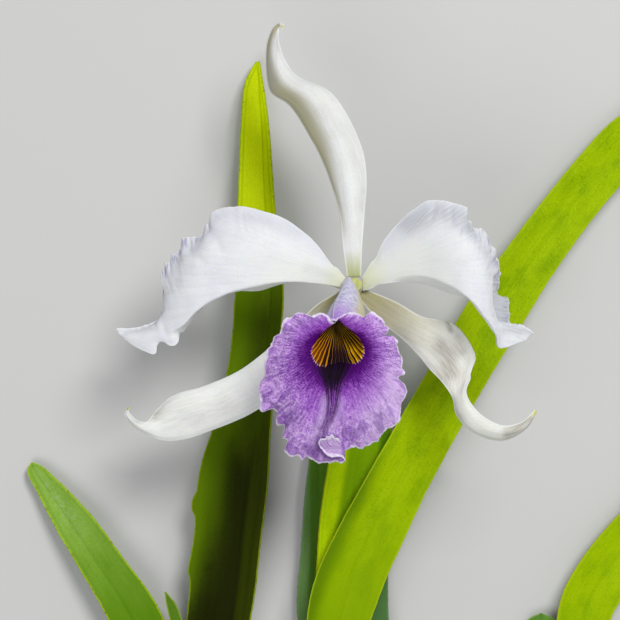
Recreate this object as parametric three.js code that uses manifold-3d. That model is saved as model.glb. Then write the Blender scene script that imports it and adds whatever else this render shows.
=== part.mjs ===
// A flowering cattleya orchid: one bloom on its stalk, with the leaves, pseudobulbs and rhizome
// that carry it, cut from the ground and lying on its back. Millimetres, +Z up.
//
// All points are given in the flower's own frame: x to its right, y towards the dorsal sepal and
// z out of its face, from the point where sepals, petals and lip meet. The plant lies with its
// back down, so z is also the height above the table, less FLOWER_HEIGHT.
import * as THREE from "three";
import { mergeVertices } from "three/addons/utils/BufferGeometryUtils.js";
import Module from "manifold-3d";

const wasm = await Module();
wasm.setup();

// ---------------------------------------------------------------- driving dimensions
const FLOWER_HEIGHT = 75; // the flower's centre above the table
const MIDDLE = [8.44, -126.51]; // the middle of the plant's footprint, in x and y
const TEPAL_THICKNESS = 0.9;
const LIP_THICKNESS = 0.8;
const LEAF_THICKNESS = 1.5;
const LEAF_KEEL = 2.6; // how deep a leaf is folded along its midrib
const YOUNG_THICKNESS = 0.8;
const YOUNG_KEEL = 1;
const GAP = 0.5; // between a pseudobulb's foot and the rhizome

const HUB = [-0.6, -2.9]; // where the flower's parts meet, in x and y
const HUB_RADIUS = 3.3;
const STALK_RADIUS = 2.2;

const BULB_RADIUS = 9.8;
const BULB_NECK = 4.2;
const SHARED_NECK = 5.6; // the neck that carries both a leaf and the flower's stalk
const BULB_FOOT = 3.8;
const BULB_SIDES = 14; // a ridge on every other one
const BULB_RIB = 0.035; // how far a ridge stands out, as a share of the radius

const RHIZOME_RADIUS = 6.4;

const TABLE = -FLOWER_HEIGHT;

// ---------------------------------------------------------------- materials
const finish = (color, roughness) =>
  new THREE.MeshStandardMaterial({ color, roughness, metalness: 0 });
const WHITE_PETAL = finish(0xeeedf2, 0.6);
const CREAM_SEPAL = finish(0xe4e2d6, 0.6);
const PURPLE_LIP = finish(0x9c5fc4, 0.55);
const CREAM_COLUMN = finish(0xe9e2b8, 0.5);
const STALK_GREEN = finish(0x8fa552, 0.55);
const LEAF_GREEN = finish(0x8ab51c, 0.45);
const DEEP_LEAF_GREEN = finish(0x4f7d33, 0.45);
const BULB_GREEN = finish(0x7c9142, 0.6);
const RHIZOME_BROWN = finish(0x6d5a3a, 0.85);

// ---------------------------------------------------------------- small helpers
const radians = THREE.MathUtils.degToRad;
const lerp = THREE.MathUtils.lerp;
const clamp = THREE.MathUtils.clamp;
const ease = THREE.MathUtils.smoothstep;
const vector = (place) => new THREE.Vector3(...place);
const smooth = (places) => new THREE.CatmullRomCurve3(places);
const range = (count) => Array.from({ length: count }, (_, i) => i);

// A closed mesh with its faces turned outwards.
function closedGeometry(points, faces) {
  let volume = 0;
  for (const [a, b, c] of faces)
    volume += points[a].dot(points[b].clone().cross(points[c]));
  const outward = volume > 0 ? faces : faces.map(([a, b, c]) => [a, c, b]);
  const geometry = new THREE.BufferGeometry().setFromPoints(points);
  geometry.setIndex(outward.flat());
  geometry.computeVertexNormals();
  return geometry;
}

// A thin closed sheet on a grid of points, split into triangles alike on both faces.
function sheet(grid, thickness) {
  const rows = grid.length;
  const columns = grid[0].length;
  const at = (i, j) =>
    grid[clamp(i, 0, rows - 1)][clamp(j, 0, columns - 1)].clone();
  const index = (side, i, j) => (side * rows + i) * columns + j;
  const points = [];
  for (const side of [0.5, -0.5])
    for (const i of range(rows))
      for (const j of range(columns)) {
        const along = at(i + 1, j).sub(at(i - 1, j));
        const across = at(i, j + 1).sub(at(i, j - 1));
        const normal = across.cross(along).normalize();
        points.push(at(i, j).addScaledVector(normal, side * thickness));
      }
  const faces = [];
  for (const i of range(rows - 1))
    for (const j of range(columns - 1)) {
      const corners = (side) => [
        index(side, i, j),
        index(side, i, j + 1),
        index(side, i + 1, j + 1),
        index(side, i + 1, j),
      ];
      const [a, b, c, d] = corners(0);
      const [e, f, g, h] = corners(1);
      faces.push([a, b, c], [a, c, d], [e, g, f], [e, h, g]);
    }
  const rim = [
    ...range(columns).map((j) => [0, j]),
    ...range(rows).map((i) => [i, columns - 1]),
    ...range(columns).map((j) => [rows - 1, columns - 1 - j]),
    ...range(rows).map((i) => [rows - 1 - i, 0]),
  ].filter(([i, j], n, all) => n === 0 || i !== all[n - 1][0] || j !== all[n - 1][1]);
  for (const n of range(rim.length - 1)) {
    const [front, back] = [0, 1].map((side) => index(side, ...rim[n]));
    const [nextFront, nextBack] = [0, 1].map((side) => index(side, ...rim[n + 1]));
    faces.push([nextFront, front, back], [nextFront, back, nextBack]);
  }
  return closedGeometry(points, faces);
}

// A grid through rails that run side by side from base to tip, or from tip to base.
function railGrid(rails, rows, columns, ripple = () => [0, 0, 0]) {
  const curves = rails.map((rail) => smooth(rail.map(vector)));
  return range(rows + 1).map((i) => {
    const along = i / rows;
    const section = smooth(curves.map((curve) => curve.getPoint(along)));
    return range(columns + 1).map((j) => {
      const across = j / columns;
      return section.getPoint(across).add(vector(ripple(along, across)));
    });
  });
}

// A rod along a smooth path with flat ends; nothing of it sinks below the table.
function rod(path, rings, sides, radiusAt) {
  const { normals, binormals } = path.computeFrenetFrames(rings, false);
  const points = [];
  for (const i of range(rings + 1)) {
    const centre = path.getPointAt(i / rings);
    for (const j of range(sides)) {
      const turn = (2 * Math.PI * j) / sides;
      const radius = radiusAt(i / rings, turn);
      const place = centre
        .clone()
        .addScaledVector(normals[i], radius * Math.cos(turn))
        .addScaledVector(binormals[i], radius * Math.sin(turn));
      place.z = Math.max(place.z, TABLE);
      points.push(place);
    }
  }
  const faces = [];
  for (const i of range(rings))
    for (const j of range(sides)) {
      const next = (j + 1) % sides;
      const [a, b] = [i * sides + j, i * sides + next];
      const [c, d] = [a + sides, b + sides];
      faces.push([a, b, d], [a, d, c]);
    }
  const ends = [points.length, points.length + 1];
  points.push(path.getPointAt(0), path.getPointAt(1));
  for (const j of range(sides)) {
    const next = (j + 1) % sides;
    faces.push([ends[0], next, j]);
    faces.push([ends[1], rings * sides + j, rings * sides + next]);
  }
  return closedGeometry(points, faces);
}

function toSolid(geometry) {
  const bare = geometry.clone();
  bare.deleteAttribute("normal");
  bare.deleteAttribute("uv");
  const merged = mergeVertices(bare, 1e-3);
  return new wasm.Manifold(
    new wasm.Mesh({
      numProp: 3,
      vertProperties: merged.attributes.position.array,
      triVerts: new Uint32Array(merged.index.array),
    }),
  );
}

function fuse(geometries) {
  const whole = geometries.map(toSolid).reduce((sum, piece) => sum.add(piece));
  const { vertProperties, triVerts } = whole.getMesh();
  const geometry = new THREE.BufferGeometry();
  geometry.setAttribute("position", new THREE.BufferAttribute(vertProperties, 3));
  geometry.setIndex(new THREE.BufferAttribute(triVerts, 1));
  geometry.computeVertexNormals();
  return geometry;
}

const plant = new THREE.Group();

function add(name, geometry, material) {
  const mesh = new THREE.Mesh(geometry, material.clone());
  mesh.name = name;
  plant.add(mesh);
}

// ---------------------------------------------------------------- sepals
// Rails run from the flower's centre to the tip: one margin, the midline, the other margin.
const DORSAL_SEPAL = [
  [[-3.4, 1.2, -1.3], [-5, 13.5, 0.5], [-6.5, 27.5, 0], [-11, 42.5, -2], [-17.5, 57.5, -5],
    [-28, 74, -9], [-36, 80.5, -14], [-38, 91.5, -16], [-37.5, 102.5, -17], [-35, 108.2, -16],
    [-32, 110.2, -14.5], [-30, 109, -13.5], [-30.6, 106.8, -12.8]],
  [[-0.4, 1.2, -1.7], [-1, 14, 1.5], [-1.5, 27.5, 3.5], [-3, 42, 4], [-6.5, 57, 2],
    [-18.5, 76.5, -2.5], [-29.5, 84.5, -8], [-34, 93, -12], [-34.5, 102.5, -14.5],
    [-33, 107.5, -14.5], [-32, 108.9, -13.4], [-31.1, 108.3, -12.9], [-30.8, 106.8, -12.6]],
  [[2.6, 1.2, -1.3], [3, 14.5, 0.8], [4, 27.5, 1.5], [5, 43, 1.5], [2.5, 57.5, -0.5],
    [-10, 79.5, -5], [-24, 87, -11], [-29.5, 94.5, -14], [-32, 102.5, -15.5],
    [-32, 106.8, -14.5], [-31.9, 107.8, -13.4], [-31.5, 107.6, -12.8], [-31, 106.9, -12.5]],
];
const LEFT_LATERAL_SEPAL = [
  [[-4.6, -3.4, -2.6], [-17, -11, -4], [-25, -19.5, -6], [-36, -28.5, -9], [-49.5, -38.5, -12],
    [-64.5, -45, -14], [-78, -49, -16], [-83.5, -54, -15], [-88, -60, -11], [-92, -60, -9],
    [-96, -56, -9], [-95.5, -54, -8]],
  [[-3.4, -5.4, -2.9], [-14, -13.5, -4.5], [-21.5, -23.5, -6], [-34.5, -36.5, -8],
    [-48.5, -48, -10], [-63, -54.5, -11], [-75, -59, -12], [-83.5, -61.5, -12],
    [-89, -62.5, -11], [-94.5, -60, -10.5], [-96.8, -56.5, -10], [-96.1, -54, -8.5]],
  [[-1.9, -7, -2.6], [-9, -16, -4], [-15.5, -27, -6], [-27, -44.5, -9], [-44.5, -57, -12],
    [-60.5, -64, -15], [-72, -68, -16], [-81.5, -68.5, -15], [-89, -65.5, -13],
    [-95.5, -61.5, -12], [-98, -57, -11], [-96.7, -54, -9]],
];
const RIGHT_LATERAL_SEPAL = [
  [[3.4, -3.4, -2.6], [17, -9, -4], [29, -15.5, -6], [40.5, -17.5, -7], [47.5, -24, -6],
    [50.5, -31.5, -5], [48.5, -40.5, -3], [46.5, -46.5, 0], [48, -51, 2], [54, -57.5, 3],
    [62, -61, 3], [69.5, -59.5, 3], [75.3, -54.5, 3]],
  [[2.2, -5.4, -2.9], [13.5, -13.5, -4], [23.5, -21.5, -5], [33.5, -27.5, -6.5],
    [39.5, -34, -7], [43.5, -39.5, -6.5], [44, -45, -4.5], [44, -49.5, -1.5], [45.5, -55, 0.5],
    [52, -61.5, 1.5], [61.5, -64, 2], [70.5, -62, 2.5], [76, -55, 2.5]],
  [[0.7, -7, -2.6], [10, -17, -4], [19, -24, -6], [27, -32, -7], [32, -38, -7],
    [36, -42, -6], [39, -46, -5], [41, -50, -4], [42.5, -57, -3], [49, -64, -2],
    [61, -68, -2], [72, -63, 0], [76.7, -55.4, 2]],
];
const SEPALS = {
  dorsal_sepal: DORSAL_SEPAL,
  lateral_sepal_left: LEFT_LATERAL_SEPAL,
  lateral_sepal_right: RIGHT_LATERAL_SEPAL,
};
for (const [name, rails] of Object.entries(SEPALS))
  add(name, sheet(railGrid(rails, 22, 6), TEPAL_THICKNESS), CREAM_SEPAL);

// ---------------------------------------------------------------- petals
// Each petal's lower half is folded back along a crest. Rails run from the centre to the tip:
// the margin that is folded back, the crest, the middle of the face and the upper margin.
const LEFT_PETAL = [
  [[-4.4, -4.6, -0.2], [-15.5, -0.8, -4], [-28.5, -0.9, -8], [-41, -4.4, -10], [-51.5, -4, -14],
    [-62, -9, -14], [-70, -18.5, -8], [-76.5, -26.5, -4], [-85, -30.5, -5], [-99, -23.5, -9]],
  [[-4.4, -3, 0.4], [-16.5, -1.3, 2], [-29.5, -0.7, 4], [-43, -2.8, 6], [-55.5, -6.5, 6],
    [-66, -12.5, 4], [-72.5, -19, 1], [-79, -22, -2], [-88, -25, -5], [-100, -22.5, -9]],
  [[-4.4, -1.2, 0.6], [-15, 6, 3], [-28.5, 11.5, 6], [-42, 14, 8], [-57, 12.5, 7],
    [-70.5, 1, 3], [-77, -8.5, -1], [-81.5, -17.5, -4], [-90, -22.5, -7], [-100.5, -21.5, -9.5]],
  [[-4.1, 0.9, 0.5], [-13.5, 12, 2], [-27.5, 24.2, 4], [-42, 29.6, 4], [-57.5, 29.4, 1],
    [-71.5, 17, -4], [-80.5, 5, -8], [-81, -10.5, -9], [-89.5, -19.5, -9], [-101.2, -20.8, -10]],
];
const RIGHT_PETAL = [
  [[3.2, -4.6, -0.2], [15, -1.4, 3], [26, -1.4, 5.5], [37, -4.8, 8.5], [46, -7.2, 12.5],
    [54, -9, 9], [58, -13, 8.5], [60.5, -17.5, 8.5], [61.5, -24, 9], [61.5, -27.5, 11],
    [71.5, -24.5, 10]],
  [[3.2, -3, 0.4], [16, 1, 4], [26.5, 2, 10], [36.5, -1, 16], [44, -5.6, 20],
    [50, -11.5, 21], [52.5, -15, 20], [56, -19, 18], [58.5, -24, 16], [59.5, -28, 13.5],
    [71, -25, 11]],
  [[3.2, -1.2, 0.6], [14.5, 8, 5], [24, 15.5, 11], [35, 17.5, 17], [45, 13.5, 20], [52, 6, 20],
    [55.5, -1, 18], [57, -8.5, 15.5], [60.5, -17.5, 13.5], [66, -22.5, 12], [72.5, -23, 10.5]],
  [[2.9, 0.9, 0.5], [12, 16.2, 4], [20.5, 26.4, 8], [31.5, 32.4, 12], [44.5, 30.3, 14],
    [53.5, 18, 13], [61, 1, 9], [65, -8.5, 6], [66, -16.8, 7], [69.5, -19.2, 8],
    [74.2, -22.3, 9]],
];
const PETAL_RUFFLE = 1.3; // how far the upper margin waves to and fro
const PETAL_WAVES = 9;

// The waves grow along the petal and towards its upper margin, and fade again at the tip.
function petalRuffle(along, across) {
  const reach = ease(across, 0.62, 1) * ease(along, 0.25, 0.55) * (1 - ease(along, 0.9, 1));
  return [0, 0, PETAL_RUFFLE * reach * Math.sin(2 * Math.PI * PETAL_WAVES * along)];
}
const PETALS = { petal_left: LEFT_PETAL, petal_right: RIGHT_PETAL };
for (const [name, rails] of Object.entries(PETALS))
  add(name, sheet(railGrid(rails, 34, 8, petalRuffle), TEPAL_THICKNESS), WHITE_PETAL);

// ---------------------------------------------------------------- lip
// A tube round the column that opens into a broad ruffled limb. Angles are measured round the
// throat from straight down, positive to the right; the right edge laps over the left one.
const LIP_TUBE = [
  // centre x, y, z, half width, half height, pinch of the top
  [-2.6, -2.3, 1.6, 2.9, 3.3, 0.35],
  [-2.6, -7.6, 9, 4.4, 5.4, 0.2],
  [-3.8, -15, 18, 7.3, 7.7, 0.1],
  [-6, -22.3, 26, 9.3, 9.4, 0.3],
  [-7.5, -27.7, 31.5, 10.8, 10.2, 0.5],
];
const LIP_LIMB = [
  // share of the way to the margin, rise, further rise of the broad part, droop, wave height
  [0.5, 1.2, 1.8, 0, 0.1],
  [0.8, 1.9, -2, 3.2, 0.6],
  [1, 2.4, -4.5, 8, 1.5],
];
const LIP_WAVES = 12;
const BROAD_LIMB = 12; // how far past the throat the limb counts as broad
const LIP_LEFT_EDGE = [-166, -168, -168, -168, -168, -166, -164.5, -163.5];
const LIP_RIGHT_EDGE = [190, 200, 205, 205, 200, 196, 194, 192.5];
const LIP_LAP = [0.2, 1.1, 1.3, 1.3, 1.3, 1.1, 0.7, 0.3]; // how far the right edge stands off
const LAP_START = 150; // the angles between which it comes to stand off
const LAP_END = 185;
// The margin's reach from the middle of the throat, by angle, with its notches.
const LIP_MARGIN = [
  [-168, 11.3], [-159, 14], [-151, 16.1], [-143, 16.4], [-137, 15.9], [-129.5, 21.2],
  [-120.6, 23.3], [-111, 24.1], [-102, 23.8], [-93.5, 27], [-86.6, 27.9], [-76.7, 30.3],
  [-66, 34.1], [-58, 37.6], [-51, 40.3], [-44.5, 36.6], [-38, 38.8], [-32.5, 41.5],
  [-27, 47.8], [-20, 48.5], [-14, 48.4], [-8, 47.9], [-2, 47.7], [3.5, 46], [8, 42.2],
  [14, 42.3], [20.4, 42.3], [25, 40.8], [30, 39.6], [35, 40.3], [39, 38.5], [43.5, 36.9],
  [48, 35.2], [53.5, 34.2], [58, 31.8], [62.5, 28], [68, 28.2], [77, 26.7], [88.6, 24.6],
  [98.4, 22.5], [104, 19.6], [110.6, 21], [116, 20.5], [127.7, 19.4], [138.8, 17.2],
  [147.4, 15.5], [156, 15.2], [165, 14], [173, 11.9], [181, 11], [186, 11.9], [192.5, 11.3],
];

function lipReach(angle) {
  const next = LIP_MARGIN.findIndex(([limit]) => limit >= angle);
  if (next < 1) return LIP_MARGIN.at(next)[1];
  const [[from, low], [to, high]] = LIP_MARGIN.slice(next - 1, next + 1);
  return lerp(low, high, (angle - from) / (to - from));
}

// A point of ring number `ring`, at the share `across` of the way from the left to the right edge.
function lipPoint(ring, across) {
  const degrees = lerp(LIP_LEFT_EDGE[ring], LIP_RIGHT_EDGE[ring], across);
  const turn = radians(degrees);
  const lap = LIP_LAP[ring] * ease(degrees, LAP_START, LAP_END);
  const [x, y, z, width, height, pinch] = LIP_TUBE[Math.min(ring, LIP_TUBE.length - 1)];
  if (ring < LIP_TUBE.length) {
    const narrow = 1 - pinch * Math.max(0, -Math.cos(turn)) ** 1.5;
    const aside = (width * narrow + lap) * Math.sin(turn);
    return new THREE.Vector3(x + aside, y - (height + lap) * Math.cos(turn), z);
  }
  const [share, rise, broadRise, droop, wave] = LIP_LIMB[ring - LIP_TUBE.length];
  const throat = (width + height) / 2;
  const reach = lerp(throat, lipReach(degrees), share) + lap;
  const breadth = clamp((lipReach(degrees) - throat) / BROAD_LIMB, 0, 1);
  const lowness = ((1 + Math.cos(turn)) / 2) ** 2;
  const ruffle = wave * Math.sin(LIP_WAVES * turn);
  return new THREE.Vector3(
    x + reach * Math.sin(turn),
    y - reach * Math.cos(turn),
    z + rise + (broadRise + ruffle) * breadth - droop * lowness,
  );
}

function lipGrid(rows, columns) {
  const rings = range(LIP_TUBE.length + LIP_LIMB.length);
  const lines = range(columns + 1).map((j) =>
    smooth(rings.map((ring) => lipPoint(ring, j / columns))),
  );
  return range(rows + 1).map((i) => lines.map((line) => line.getPoint(i / rows)));
}
add("lip", sheet(lipGrid(11, 60), LIP_THICKNESS), PURPLE_LIP);

// ---------------------------------------------------------------- column and stalk
const COLUMN = [[-2.3, -2.7, 2], [-2.4, -6.2, 9], [-3.4, -10.6, 16.5], [-4.8, -14.4, 22]];
const COLUMN_FOOT = 1.6; // its radius at the foot and at the tip
const COLUMN_TIP = 2.4;
const columnPath = smooth(COLUMN.map(vector));
const columnRadius = (along) => lerp(COLUMN_FOOT, COLUMN_TIP, along);
add("column", rod(columnPath, 8, 10, columnRadius), CREAM_COLUMN);

const CAP_RADIUS = 2.1;
const CAP_FLATNESS = 0.6;
const CAP_GAP = 0.35; // between the cap and the column's end
const cap = new THREE.SphereGeometry(CAP_RADIUS, 10, 6).scale(1, 0.85, CAP_FLATNESS);
const capDirection = columnPath.getTangentAt(1);
cap.applyQuaternion(
  new THREE.Quaternion().setFromUnitVectors(new THREE.Vector3(0, 0, 1), capDirection),
);
const capHeight = CAP_FLATNESS * CAP_RADIUS + CAP_GAP;
const capPlace = vector(COLUMN.at(-1)).addScaledVector(capDirection, capHeight);
cap.translate(...capPlace.toArray());
cap.deleteAttribute("uv");
cap.deleteAttribute("normal");
const capGeometry = mergeVertices(cap, 1e-3);
capGeometry.computeVertexNormals();
add("anther_cap", capGeometry, CREAM_COLUMN);

// The ovary starts as the flower's hub and goes on as the pedicel, which bends down the plant.
const PEDICEL = [
  [...HUB, 0.9], [-0.6, -3.2, -8], [-0.9, -6.5, -24], [-1.6, -14, -40], [-2.6, -28, -50.5],
  [-3, -42, -54],
];
const HUB_END = 0.12; // where the hub narrows to the ovary, as a share of the way
const OVARY_RADIUS = 2.9;
const pedicelRadius = (along) =>
  along < HUB_END ? HUB_RADIUS : lerp(OVARY_RADIUS, STALK_RADIUS, ease(along, HUB_END, 0.8));
add("ovary_pedicel", rod(smooth(PEDICEL.map(vector)), 16, 10, pedicelRadius), STALK_GREEN);

const PEDUNCLE = [
  [-3.1, -42.5, -54.1], [-2, -83, -56], [-1.5, -105, -57.5], [-3, -132.5, -58.5],
  [-5, -159, -58.5], [-8, -185.5, -57.6], [-9, -198, -56.5],
];
const pedunclePath = smooth(PEDUNCLE.map(vector));
add("peduncle", rod(pedunclePath, 14, 8, () => STALK_RADIUS), STALK_GREEN);

// The sheath that the flower bud grew out of stands round the foot of the peduncle, split in front.
const SHEATH_START = 0.6; // its tip, as a share of the way down the peduncle
const SHEATH_GIRTH = [3.1, 4, 4.1, 3.4]; // from tip to foot
const SHEATH_WRAP = [130, 150, 160, 150]; // half of what it wraps, in degrees
const SHEATH_THICKNESS = 0.7;

function sheathGrid(rows, columns) {
  const at = (list, along) => {
    const step = Math.min(Math.floor(along * (list.length - 1)), list.length - 2);
    return lerp(list[step], list[step + 1], along * (list.length - 1) - step);
  };
  return range(rows + 1).map((i) => {
    const along = i / rows;
    const centre = pedunclePath.getPointAt(lerp(SHEATH_START, 0.995, along));
    return range(columns + 1).map((j) => {
      const turn = radians(at(SHEATH_WRAP, along) * (2 * (j / columns) - 1));
      const girth = at(SHEATH_GIRTH, along);
      return centre
        .clone()
        .add(new THREE.Vector3(girth * Math.sin(turn), 0, -girth * Math.cos(turn)));
    });
  });
}
add("flower_sheath", sheet(sheathGrid(8, 10), SHEATH_THICKNESS), STALK_GREEN);

// ---------------------------------------------------------------- leaves
// Both margins of each leaf, from the tip to the foot.
const LEAF_LEFT_TALL = [
  [[-42, 97.5, -68], [-47, 90.5, -66], [-49.5, 74.5, -62], [-51, 35.5, -56], [-52, -4, -53],
    [-55, -36.5, -51], [-62, -65, -51], [-68.5, -90, -53], [-70.5, -114.5, -56],
    [-73, -140, -58], [-74, -161.5, -60], [-71.5, -184.5, -62], [-66, -204.5, -63]],
  [[-41, 98, -68], [-39, 85, -66], [-37, 67.5, -62], [-34.5, 35.5, -56], [-30.5, -4, -53],
    [-33, -34.5, -51], [-36, -63.5, -51], [-37.5, -90.5, -53], [-40.5, -114.5, -56],
    [-43.5, -140, -58], [-47.5, -161.5, -60], [-53, -184.5, -62], [-60.5, -204.5, -63]],
];
const LEAF_LEFT_LOW = [
  [[-144.5, -81.5, -71], [-146, -85, -70], [-141.5, -94, -68], [-132, -111.5, -65],
    [-121.5, -128.5, -62], [-109, -150, -60], [-101, -170.5, -60], [-95, -191.5, -61],
    [-90, -215.5, -63]],
  [[-143.5, -81, -71], [-139, -83, -70], [-132, -89, -68], [-116.5, -104.5, -65],
    [-103, -122, -62], [-87, -144, -60], [-79, -166, -60], [-77, -188.5, -61],
    [-84.5, -215.5, -63]],
];
const LEAF_RIGHT_LONG = [
  [[157.5, 93, -72], [144, 90, -70], [116.5, 72, -64], [101.5, 56.5, -60], [84.5, 36, -56],
    [69, 16, -52], [51.5, -8, -48], [33.5, -38, -44], [20.5, -60, -41.5], [6, -85, -40],
    [-6.5, -107.5, -40], [-15.5, -126.5, -41], [-20, -145, -43.5], [-20, -164, -46.5],
    [-17, -183.5, -49.5], [-12.3, -199, -51.5]],
  [[159, 91.5, -72], [152, 82, -70], [132.5, 56, -64], [119, 42.5, -60], [102.5, 22.5, -56],
    [87.5, 1.5, -52], [73, -21.5, -48], [56.5, -48, -44], [43, -71.5, -41.5], [31, -94, -40],
    [21.5, -114.5, -40], [14.5, -130, -41], [8.5, -146.5, -43.5], [1.5, -165.5, -46.5],
    [-3.5, -184.5, -49.5], [-6.7, -199, -51.5]],
];
const LEAF_CENTRE_FRONT = [
  [[3, -31, -46], [-3, -45.5, -46.5], [-8, -63, -47], [-11, -81, -48], [-13, -92.5, -48],
    [-15, -107.5, -48.5], [-16.5, -131, -49.5], [-19.5, -152, -51.2], [-24.5, -176.5, -54.6],
    [-31, -199.5, -59], [-35.5, -215.5, -61]],
  [[5, -31, -46], [13.5, -44.5, -46.5], [17, -63, -47], [16.5, -81, -48], [14.5, -94, -48],
    [12.5, -109.5, -48.5], [9, -131.5, -49.5], [-1, -153, -51.2], [-14, -177.5, -54.6],
    [-22.5, -199.5, -59], [-29.5, -215.5, -61]],
];
const LEAF_CENTRE_BACK = [
  [[-6.5, -36, -69], [-13.5, -49.5, -68], [-18, -66.5, -67], [-19.5, -81, -66],
    [-21.5, -97.5, -66], [-23, -120, -66], [-24.5, -151.5, -66], [-15.5, -178, -65],
    [0, -200.5, -64], [16, -221, -63]],
  [[-4.5, -36, -69], [3.5, -47.5, -68], [9, -64, -67], [12, -80, -66], [14.5, -97.5, -66],
    [16, -124.5, -66], [16.5, -151.5, -66], [20, -177, -65], [23, -200.5, -64],
    [22, -221, -63]],
];
const LEAF_RIGHT_LOW = [
  [[160.5, -70.5, -72], [147.5, -78, -70], [131, -92.5, -66], [116, -107, -63],
    [102.5, -123, -61], [93.5, -139, -60], [90.5, -157.5, -60], [93, -179.5, -61],
    [98, -196.5, -62], [101.5, -210, -63]],
  [[162.5, -72, -72], [162, -88, -70], [152, -106.5, -66], [138.5, -120.5, -63],
    [125.5, -134, -61], [116.5, -147, -60], [112, -161.5, -60], [110.5, -181, -61],
    [109, -196.5, -62], [107.5, -210, -63]],
];
const LEAF_RIGHT_SHORT = [
  [[84, -149, -70], [78.5, -152, -69], [73.5, -162.5, -66], [72, -182.5, -64],
    [74, -205, -64], [76.5, -225, -64]],
  [[86, -149, -70], [91.5, -152, -69], [93.5, -162.5, -66], [91.5, -182.5, -64],
    [86.5, -205, -64], [82, -225, -64]],
];
const YOUNG_LEAF = [
  [[-83.5, -137.5, -55], [-82.5, -143.5, -55], [-80, -154.5, -55], [-75, -176.5, -56.5],
    [-68.4, -208, -60.6]],
  [[-82.5, -137.5, -55], [-78, -143.5, -55], [-74.5, -153.5, -55], [-69, -174.5, -56],
    [-65.4, -208, -58.4]],
];

// A leaf is bent along its midrib, so that it is a shallow channel; the fold opens towards its tip
// and at its foot. The midrib lies at the share `rib` of the way from the left to the right margin.
function leafGrid([left, right], rows, keel, rib) {
  const middle = left.map((place, n) => {
    const [a, b] = [vector(place), vector(right[n])];
    const fold = keel * ease(a.distanceTo(b), NARROW_LEAF, BROAD_LEAF);
    return a.lerp(b, rib).add(new THREE.Vector3(0, 0, -fold)).toArray();
  });
  return railGrid([left, middle, right], rows, 4);
}
const NARROW_LEAF = 4; // a leaf this wide lies flat, and one as wide as BROAD_LEAF is fully folded
const BROAD_LEAF = 18;
const LEAVES = {
  // margins, rows of the mesh, material and where the midrib lies
  leaf_left_tall: [LEAF_LEFT_TALL, 24, LEAF_GREEN, 0.72],
  leaf_left_low: [LEAF_LEFT_LOW, 16, DEEP_LEAF_GREEN, 0.4],
  leaf_right_long: [LEAF_RIGHT_LONG, 26, LEAF_GREEN, 0.5],
  leaf_centre_front: [LEAF_CENTRE_FRONT, 20, LEAF_GREEN, 0.5],
  leaf_centre_back: [LEAF_CENTRE_BACK, 18, DEEP_LEAF_GREEN, 0.5],
  leaf_right_low: [LEAF_RIGHT_LOW, 18, LEAF_GREEN, 0.5],
  leaf_right_short: [LEAF_RIGHT_SHORT, 10, DEEP_LEAF_GREEN, 0.5],
};
for (const [name, [margins, rows, material, rib]] of Object.entries(LEAVES))
  add(name, sheet(leafGrid(margins, rows, LEAF_KEEL, rib), LEAF_THICKNESS), material);
add("leaf_young", sheet(leafGrid(YOUNG_LEAF, 8, YOUNG_KEEL, 0.5), YOUNG_THICKNESS), LEAF_GREEN);

// ---------------------------------------------------------------- rhizome and pseudobulbs
const RHIZOME = [
  [-103, -321.5, -68.4], [-86, -321, -68.2], [-60, -323.2, -68.6], [-31, -326.5, -68.4],
  [-4, -326, -68.6], [24, -323, -68.4], [46, -320.5, -68.6], [69, -321.5, -68.5],
  [96, -324, -68.4], [112, -322, -68.2],
];
const RHIZOME_JOINTS = 13; // the swellings that old scale leaves have left along it
const JOINT_SWELL = 0.06; // how much thicker it is there
const rhizomePath = smooth(RHIZOME.map(vector));
const rhizomeRadius = (along) =>
  RHIZOME_RADIUS * (1 + JOINT_SWELL * Math.sin(2 * Math.PI * RHIZOME_JOINTS * along));

function rhizomeNear(x) {
  return range(201)
    .map((n) => rhizomePath.getPoint(n / 200))
    .reduce((best, place) => (Math.abs(place.x - x) < Math.abs(best.x - x) ? place : best));
}

// Cut roots: where each leaves the rhizome, and how far it runs sideways and back.
const ROOTS = [
  [-94, -14, 13], [-78, 5, 26], [-52, -9, 16], [-45, 11, 31], [-12, -6, 22], [8, 12, 18],
  [31, -3, 30], [58, -10, 21], [66, 9, 27], [99, 13, 16],
];
const ROOT_RADIUS = 1.6;
const ROOT_TIP = 1;

// A root starts inside the rhizome, bends down in front of it and then lies along the table.
function root([x, sideways, back]) {
  const { y } = rhizomeNear(x);
  const path = smooth([
    new THREE.Vector3(x, y, TABLE + 5.5),
    new THREE.Vector3(x + 0.15 * sideways, y - 7, TABLE + 3),
    new THREE.Vector3(x + 0.6 * sideways, y - 7 - 0.5 * back, TABLE + 1.2),
    new THREE.Vector3(x + sideways, y - 7 - back, TABLE + ROOT_TIP),
  ]);
  return rod(path, 5, 6, (along) => lerp(ROOT_RADIUS, ROOT_TIP, along));
}
const rhizome = rod(rhizomePath, 26, 10, rhizomeRadius);
add("rhizome", fuse([rhizome, ...ROOTS.map(root)]), RHIZOME_BROWN);

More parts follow.
